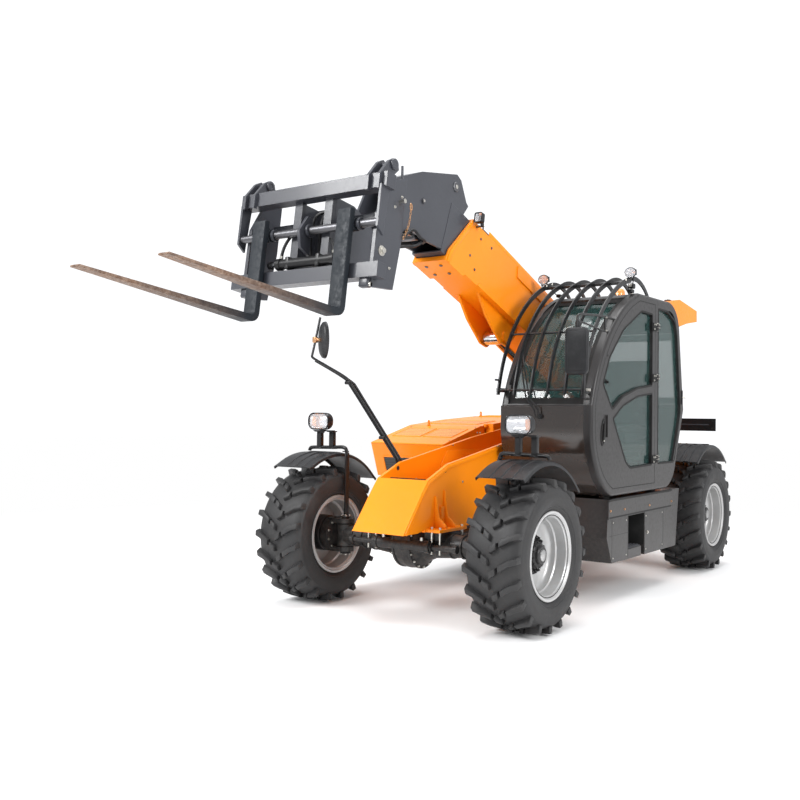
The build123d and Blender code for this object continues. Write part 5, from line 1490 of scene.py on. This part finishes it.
class HANDLER_OT_chassis(bpy.types.Operator):
    """Folded rims, gussets, bolted flanges and pressings of the chassis plates"""
    bl_idname = "handler.chassis"
    bl_label = "Chassis fittings"

    def execute(self, context):
        bm = bmesh.new()
        for side in (1, -1):
            x, out = side * FRAME_SIDE, ACROSS * side
            edge = [(-420, 611), (-205, 878), (-147, 938), (96, 1038), (1085, 1203), (2480, 1389)]
            inner = inset(edge, -24, False)
            # raised rim along the nose and the top edge
            rows = []
            for line, rise in ((edge, 0), (edge, 7), (inner, 7), (inner, 0)):
                rows.append([bm.verts.new(at(x + side * rise, d, z)) for d, z in line])
            for a, b in zip(rows, rows[1:]):
                for i in range(len(a) - 1):
                    bm.faces.new((a[i], a[i + 1], b[i + 1], b[i]))
            for i in (0, -1):
                bm.faces.new([row[i] for row in rows])
            # gussets down to the seat flange
            for d, top in ((43, 868), (-69, 834)):
                foot = [(FRAME_SIDE, top), (224, top + 4), (238, 760), (252, 690), (306, 640), (306, 620),
                        (FRAME_SIDE, 620)]
                plate(bm, [at(side * gx, d - 7, gz) for gx, gz in foot], REARWARD * 0.014)
            # rear tower edge and boss ring
            for place, r, face in ((BOOM_PIVOT, 95, 232), (LIFT_BASE, 70, 226)):
                turned(bm, [(0, r - 8), (0, r + 8), (6, r + 2), (6, r - 8)], at(side * face, *place),
                       axis=out, steps=40)
        # raised lining on the far plate's inside, cover behind the nose, bolted bar below it
        lining = ((590, 900), (617, 1017), (700, 1114), (1300, 1118), (2300, 1250), (2300, 900))
        for side in (1, -1):
            plate(bm, [at(side * 190, d, z) for d, z in lining], -ACROSS * side * 0.004)
        plate(bm, [at(-188, d, z) for d, z in ((-152, 944), (-60, 938), (-60, 931), (-150, 937))],
              ACROSS * 0.376)
        rims = finish(bm, "chassis_rims", "chassis", "orange", smooth=35, bevel=0.0015, segments=2)

        bm = bmesh.new()
        # slot behind the cover, sight holes and bolts in the plates
        brick(bm, (300, 3, 9), at(-20, -60, 941), material=1)
        for side in (1, -1):
            out = ACROSS * side
            for d, z in ((785, 1154), (1192, 1244), (283, 915)):
                hexagon_head(bm, at(side * 190, d, z), -out, 13, 7)
                hexagon_head(bm, at(side * FRAME_SIDE, d, z), out, 13, 5)
            bar(bm, at(side * 189.5, 55, 1004), at(side * 188.5, 55, 1004), 16, 24, material=1)
            bar(bm, at(side * FRAME_SIDE, 55, 1004), at(side * (FRAME_SIDE + 1), 55, 1004), 16, 24,
                material=1)
            for d in (0.0, WHEELBASE):
                for sx in (235, 300):
                    for sd in (-137, 137):
                        bar(bm, at(side * sx, d + sd, 450), at(side * sx, d + sd, 600), 8, 14)
                        hexagon_head(bm, at(side * sx, d + sd, 620), UP, 17, 14)
                        hexagon_head(bm, at(side * sx, d + sd, 600), -UP, 17, 14)
            # end caps of the boom pin and the lift pin, with keeper plates
            for (d, z), r, x in ((BOOM_PIVOT, 45, 236), (LIFT_BASE, 30, 230)):
                turned(bm, [(0, 0), (0, r - 6), (1.5, r - 9), (1.5, 0)], at(side * 238, d, z), axis=out,
                       steps=32,
                       closed=False)
                rounded_block(bm, (8, 34, 120), at(side * x, d + r + 8, z), 3, material=2)
                for dz in (-44, 44):
                    hexagon_head(bm, at(side * (x + 4), d + r + 8, z + dz), out, 15, 9)
        bolts = finish(bm, "chassis_bolts", "chassis", "bolt", "rubber", "black", smooth=35)

        # hose bundle from the tower along the trough, brake hoses down to the axles
        runs = (
            ("trough_hose_a", [(-150, 3050, 900), (-160, 2600, 740), (-160, 1800, 700), (-160, 900, 690),
                               (-150, 640, 700)], 12),
            ("trough_hose_b", [(-120, 3050, 880), (-132, 2600, 716), (-132, 1800, 676), (-132, 900, 666),
                               (-120, 640, 680)], 12),
            ("brake_hose_left", [(330, 60, 560), (420, 110, 590), (520, 110, 560), (600, 80, 560)], 8),
            ("brake_hose_right", [(-330, 60, 560), (-420, 110, 590), (-520, 110, 560), (-600, 80, 560)], 8),
        )
        for name, line, r in runs:
            hose = pipe([at(*p) for p in line], r, name, "chassis", "hose")
        return {"FINISHED"}


class HANDLER_OT_hood(bpy.types.Operator):
    """Grilles, lifting eyes, black mesh, louvres and latches of the engine hood"""
    bl_idname = "handler.hood"
    bl_label = "Engine hood fittings"

    def execute(self, context):
        slope = [(793, 1156), (1353, 1296), (1833, 1340), (2360, 1372), (2640, 1385)]

        def on_top(x, d, out=0.0):
            for (d0, z0), (d1, z1) in zip(slope, slope[1:]):
                if d <= d1:
                    return at(x, d, z0 + (z1 - z0) * (d - d0) / (d1 - d0) + out)
            return at(x, d, slope[-1][1] + out)

        bm = bmesh.new()
        panels = (
            # x0, x1, d0, d1
            (-930, -650, 1000, 1250),
            (-620, -340, 1000, 1250),
            (-900, -400, 1500, 1800),
        )
        sheets = [[on_top(x, d, 1) for x, d in ((x0, d0), (x1, d0), (x1, d1), (x0, d1))] for x0, x1, d0,
                  d1 in panels]
        for sheet in sheets:
            plate(bm, sheet, UP * 0.0015)
        # black mesh in the front face, panels of the right side
        front = [at(-900, 832, 1040), at(-350, 832, 1040), at(-350, 883, 900), at(-900, 883, 900)]
        plate(bm, front, REARWARD * 0.004, material=1)
        window = ((1700, 950), (2400, 950), (2400, 1240), (1700, 1230))
        plate(bm, [at(-1000.5, d, z) for d, z in window], ACROSS * 0.002, material=1)
        grilles = finish(bm, "hood_grilles", "hood", "pierced", "mesh", smooth=30)

        bm = bmesh.new()
        # frames round the grilles
        for sheet in sheets:
            chain_of_bars(bm, sheet + sheet[:1], 4, 8)
        chain_of_bars(bm, front + front[:1], 5, 8)
        # inner skirt that closes the gap over the chassis plate
        for stretch in ((812, 1100, 1353, 1435), (1471, 1833, 2295), (2331, 2360, 2628)):
            high = [on_top(-288, d, -3) for d in stretch]
            low = [p - UP * 0.092 for p in reversed(high)]
            plate(bm, high + low, -ACROSS * 0.003)
        # louvre strips across the rear of the top
        for d in range(2400, 2600, 34):
            rounded_block(bm, (460, 18, 10), on_top(-690, d, 3), 4)
        # lifting eyes
        for x, d in ((-800, 1353), (-950, 2480)):
            ring = bmesh.new()
            turned(ring, [(x0, 17 + r) for x0, r in around(8, 5.5)], Vector(), steps=28)
            add(bm, ring, Matrix.Translation(on_top(x, d, 26)) @ Matrix.Rotation(radians(55), 4, "Z"))
            bar(bm, on_top(x, d, 0), on_top(x, d, 9), 14, 20)
        # folded rim along the front edge and the side
        bar(bm, at(-994, 798, 1153), at(-290, 798, 1153), 7, 12)
        chain_of_bars(bm, [at(-994, d, z - 4) for d, z in slope], 6, 10)
        trims = finish(bm, "hood_trims", "hood", "orange", smooth=40)

        bm = bmesh.new()
        for d in (1100, 1650, 2200):
            rounded_block(bm, (8, 60, 90), at(-1001, d, 930), 3)
            bar(bm, at(-1000, d, 930), at(-1006, d, 930), 12, 20, material=1)
        for d, z in ((1240, 1240), (1240, 960), (1680, 960), (1680, 1260)):
            hexagon_head(bm, at(-1000, d, z), -ACROSS, 14, 7, 1)
        for x in (-950, -300):
            for d in (900, 1300, 2350):
                hexagon_head(bm, on_top(x, d, 0), UP, 13, 6, 1)
        latches = finish(bm, "hood_latches", "hood", "plastic", "bolt", smooth=38)

        # pod below: filler cap, foot tread, seams, handle
        bm = bmesh.new()
        for d in (1500, 2080):
            bead(bm, [(d, 440), (d, 860)], -981.5, -979.5, 1.6, closed=False)
        turned(bm, [(0, 0), (0, 46), (16, 46), (22, 40), (22, 0)], at(-980, 2300, 760), axis=-ACROSS,
               steps=36,
               closed=False, material=1)
        for z in (500, 560):
            rounded_block(bm, (12, 260, 16), at(-984, 1290, z), 5, material=1)
        for d in (1100, 1480, 1520, 2060):
            for z in (460, 840):
                hexagon_head(bm, at(-980, d, z), -ACROSS, 14, 7, 2)
        pod = finish(bm, "pod_fittings", "chassis", "rubber", "plastic", "bolt", smooth=38)
        return {"FINISHED"}


class HANDLER_OT_steps(bpy.types.Operator):
    """Rubber rim, seams, treads, lock and bolts of the step box under the cab; dark strips and sheets are painted shade
    under the ledge and in the recess
    """
    bl_idname = "handler.steps"
    bl_label = "Step box fittings"

    def execute(self, context):
        bm = bmesh.new()
        # rim that follows the cab's foot, a dark strip as painted shade in the gap under the ledge, seams of the doors
        rim = [(1024, 774), (1100, 778), (1240, 778), (2300, 778), (2326, 782)]
        bead(bm, rim, 984, 1003, 8, closed=False)
        bead(bm, [(1035, 650), (2320, 650)], 990, 1000.6, 6, closed=False)
        for d, z0, z1 in ((2183, 320, 630), (1776, 312, 634), (1434, 318, 634), (1130, 330, 630)):
            bead(bm, [(d, z0), (d, z1)], 978, 980.6, 1.6, closed=False)
        bead(bm, [(1072, 510), (1432, 510)], 978, 980.4, 1.2, closed=False)
        # floor of the recess: a black lining sheet as painted shade on the recess floor, and a serrated tread
        brick(bm, (200, 256, 3), at(862, 1570, 382))
        d0, d1, z = 1446, 1696, 384
        for k in range(13):
            d = d0 + (d1 - d0) * k / 12
            for x in (900, 925, 950):
                bar(bm, at(x, d, z), at(x, d, z + 10), 7, 6, 4, material=1)
        rounded_block(bm, (90, d1 - d0 + 20, 6), at(925, (d0 + d1) / 2, z), 2, material=1)
        # black lining sheets on the recess's walls and ceiling: painted shade in the recess
        brick(bm, (2, 326, 250), at(763, 1605, 512))
        for d in (1443, 1767):
            brick(bm, (214, 2, 250), at(872, d, 512))
        brick(bm, (214, 326, 2), at(872, 1605, 638))
        # this piece also carries the dark strip and sheets painted as shade under the ledge and in the recess
        seams = finish(bm, "step_rim", "chassis", "rubber", "slate", smooth=35)

        bm = bmesh.new()
        for d, z in ((1055, 701), (1316, 696), (1824, 689), (2323, 687)):
            hexagon_head(bm, at(999.5, d, z), ACROSS, 14, 6)
        bar(bm, at(980, 1828, 474), at(986, 1828, 474), 14, 24, material=1)
        bar(bm, at(986, 1828, 474), at(992, 1828, 474), 8, 20, material=1)
        for d in (1150, 1400, 1800, 2160):
            for z in (344, 606):
                bar(bm, at(980, d, z), at(982.5, d, z), 6, 14, material=1)
        bolts = finish(bm, "step_bolts", "chassis", "copper", "bolt", smooth=35)
        return {"FINISHED"}


class HANDLER_OT_rear(bpy.types.Operator):
    """Tail lamps, slot and holes of the tail plate, counterweight bolts, visor brackets"""
    bl_idname = "handler.rear"
    bl_label = "Rear fittings"

    def execute(self, context):
        rear = REAR_FACE
        bm = bmesh.new()
        for side in (1, -1):
            # slot and holes near the plate's ends, seen from ahead
            brick(bm, (330, 3, 10), at(side * 770, rear - 0.6, 1322), material=3)
            for z in (1290, 1354):
                bar(bm, at(side * 968, rear - 1.5, z), at(side * 968, rear + 1, z), 9, 20, material=2)
            # lamp cluster on the rear face: red, amber and clear fields
            place = Matrix.Translation(at(side * 850, rear + 32, 1321)) @ Matrix.Rotation(pi, 4, "Z")
            add(bm, lamp_shell(230, 92, 40, 12, 5), place)
            for x, kind in ((side * 918, 5), (side * 850, 4), (side * 782, 6)):
                rounded_block(bm, (62, 10, 74), at(x, rear + 50, 1321), 4.5, 3, material=kind)
        pad = [at(x, rear + 13, z) for x, z in ((-260, 1272), (260, 1272), (260, 1370), (-260, 1370))]
        plate(bm, pad, REARWARD * 0.003)
        lamps = finish(bm, "tail_lamps", "chassis", "plastic", "reflector", "rubber",
                       "slate", "amber", "red", "lens", smooth=38)

        bm = bmesh.new()
        for side in (1, -1):
            for z in (740, 1080):
                bar(bm, at(side * 331, rear + 310, z), at(side * 345, rear + 310, z), 22, 24)
            hexagon_head(bm, at(side * 200, rear + 120, 1180), UP, 30, 22)
            # visor brackets over the cab's rear
            rounded_block(bm, (46, 60, 10), at(654 + side * 250, 2480, 2391), 3, material=1)
            hexagon_head(bm, at(654 + side * 250, 2480, 2396), UP, 14, 8)
        bolts = finish(bm, "rear_bolts", "chassis", "bolt", "black", smooth=35)
        return {"FINISHED"}


class HANDLER_OT_axles(bpy.types.Operator):
    """Housing bolts, kingpin caps, tie rods, steering cylinder heads and shaft joints"""
    bl_idname = "handler.axles"
    bl_label = "Axles and drive shaft"

    def execute(self, context):
        bm = bmesh.new()
        for d, face in ((0.0, 1), (WHEELBASE, -1)):
            # flanges between the housing and its tubes, nose that carries the drive shaft's joint
            for side in (1, -1):
                turned(bm, [(-8, 160), (-8, 177), (8, 177), (8, 150)], at(side * 68, d, HUB_Z), steps=56)
                for dd, dz in around(16, 166):
                    hexagon_head(bm, at(side * 76, d + dd, HUB_Z + dz), ACROSS * side, 13, 9, 1)
            turned(bm, [(120, 112), (165, 102), (186, 72), (198, 64), (198, 50)], at(0, d, HUB_Z),
                   axis=REARWARD * face,
                   steps=40, closed=False)
            for side in (1, -1):
                for x in (330, 420, 510):
                    turned(bm, [(-7, 60), (-7, 86 - (x - 330) * 0.04), (7, 86 - (x - 330) * 0.04), (7, 60)],
                           at(side * x, d, HUB_Z), steps=36)
                # steering cylinder heads and the tie rod's ball ends
                dc = d - face * 150
                for x0, x1, r in ((196, 236, 44), (236, 250, 30)):
                    bar(bm, at(side * x0, dc, HUB_Z), at(side * x1, dc, HUB_Z), r, 32)
                bar(bm, at(side * 418, dc, HUB_Z), at(side * 446, dc, HUB_Z), 27, 24)
                bar(bm, at(side * 160, dc, HUB_Z + 34), at(side * 160, dc, HUB_Z + 58), 13, 6, material=1)
        for d0, way in ((178, 1), (WHEELBASE - 178, -1)):
            for x, dz in around(8, 40):
                hexagon_head(bm, at(x, d0 + way * 110, HUB_Z + dz), REARWARD * way, 12, 9, 1)
            turned(bm, [(0, 30), (0, 62), (12, 62), (12, 30)], at(0, d0 + way * 30, HUB_Z),
                   axis=REARWARD * way, steps=32)
        parts = finish(bm, "axle_fittings", "chassis", "axle", "bolt", smooth=35)

        for name, side, d in CORNERS:
            bm = bmesh.new()
            high, low = HUB_Z + 120, HUB_Z - 120
            for z, up in ((high + 10, 1), (low - 10, -1)):
                way = UP * up
                bar(bm, at(side * 620, d, z), at(side * 620, d, z) + way * 0.008, 40, 28)
                for dx, dd in around(4, 30, pi / 4):
                    hexagon_head(bm, at(side * 620 + dx, d + dd, z + 8 * up), way, 11, 7, 1)
            # bolt ring on the carrier's inner face
            for dd, dz in around(10, 104, 0.3):
                hexagon_head(bm, at(side * 698, d + dd, HUB_Z + dz), -ACROSS * side, 14, 9, 1)
            knuckle = finish(bm, "knuckle_caps_" + name, "steer_" + name, "axle", "bolt", smooth=35)
        return {"FINISHED"}


class HANDLER_PT_dressing(bpy.types.Panel):
    """Lists the operators in their order"""
    bl_label = "Telehandler"
    bl_idname = "HANDLER_PT_dressing"
    bl_space_type = "VIEW_3D"
    bl_region_type = "UI"
    bl_category = "Telehandler"

    def draw(self, context):
        for group in (context.scene.handler_palette, context.scene.handler_sizes, context.scene.handler_view):
            box = self.layout.box()
            for name in group.__annotations__:
                box.prop(group, name)
        for operator in OPERATORS:
            self.layout.operator(operator.bl_idname)


OPERATORS = (HANDLER_OT_stage, HANDLER_OT_finishes, HANDLER_OT_tyres, HANDLER_OT_rims, HANDLER_OT_fenders,
             HANDLER_OT_headlamps, HANDLER_OT_cab, HANDLER_OT_roof, HANDLER_OT_mirrors, HANDLER_OT_seat,
             HANDLER_OT_boom, HANDLER_OT_head, HANDLER_OT_carriage, HANDLER_OT_forks, HANDLER_OT_cylinders,
             HANDLER_OT_chassis, HANDLER_OT_hood, HANDLER_OT_steps, HANDLER_OT_rear, HANDLER_OT_axles)
GROUPS = (("handler_palette", HandlerPalette), ("handler_sizes", HandlerSizes), ("handler_view", HandlerView))


def register():
    for name, group in GROUPS:
        bpy.utils.register_class(group)
        setattr(bpy.types.Scene, name, bpy.props.PointerProperty(type=group))
    for operator in OPERATORS:
        bpy.utils.register_class(operator)
    bpy.utils.register_class(HANDLER_PT_dressing)


def unregister():
    bpy.utils.unregister_class(HANDLER_PT_dressing)
    for operator in reversed(OPERATORS):
        bpy.utils.unregister_class(operator)
    for name, group in reversed(GROUPS):
        delattr(bpy.types.Scene, name)
        bpy.utils.unregister_class(group)


def main():
    register()
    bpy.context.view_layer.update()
    for operator in OPERATORS:
        group, name = operator.bl_idname.split(".")
        getattr(getattr(bpy.ops, group), name)()
    bpy.context.view_layer.update()


if __name__ == "__main__":
    main()
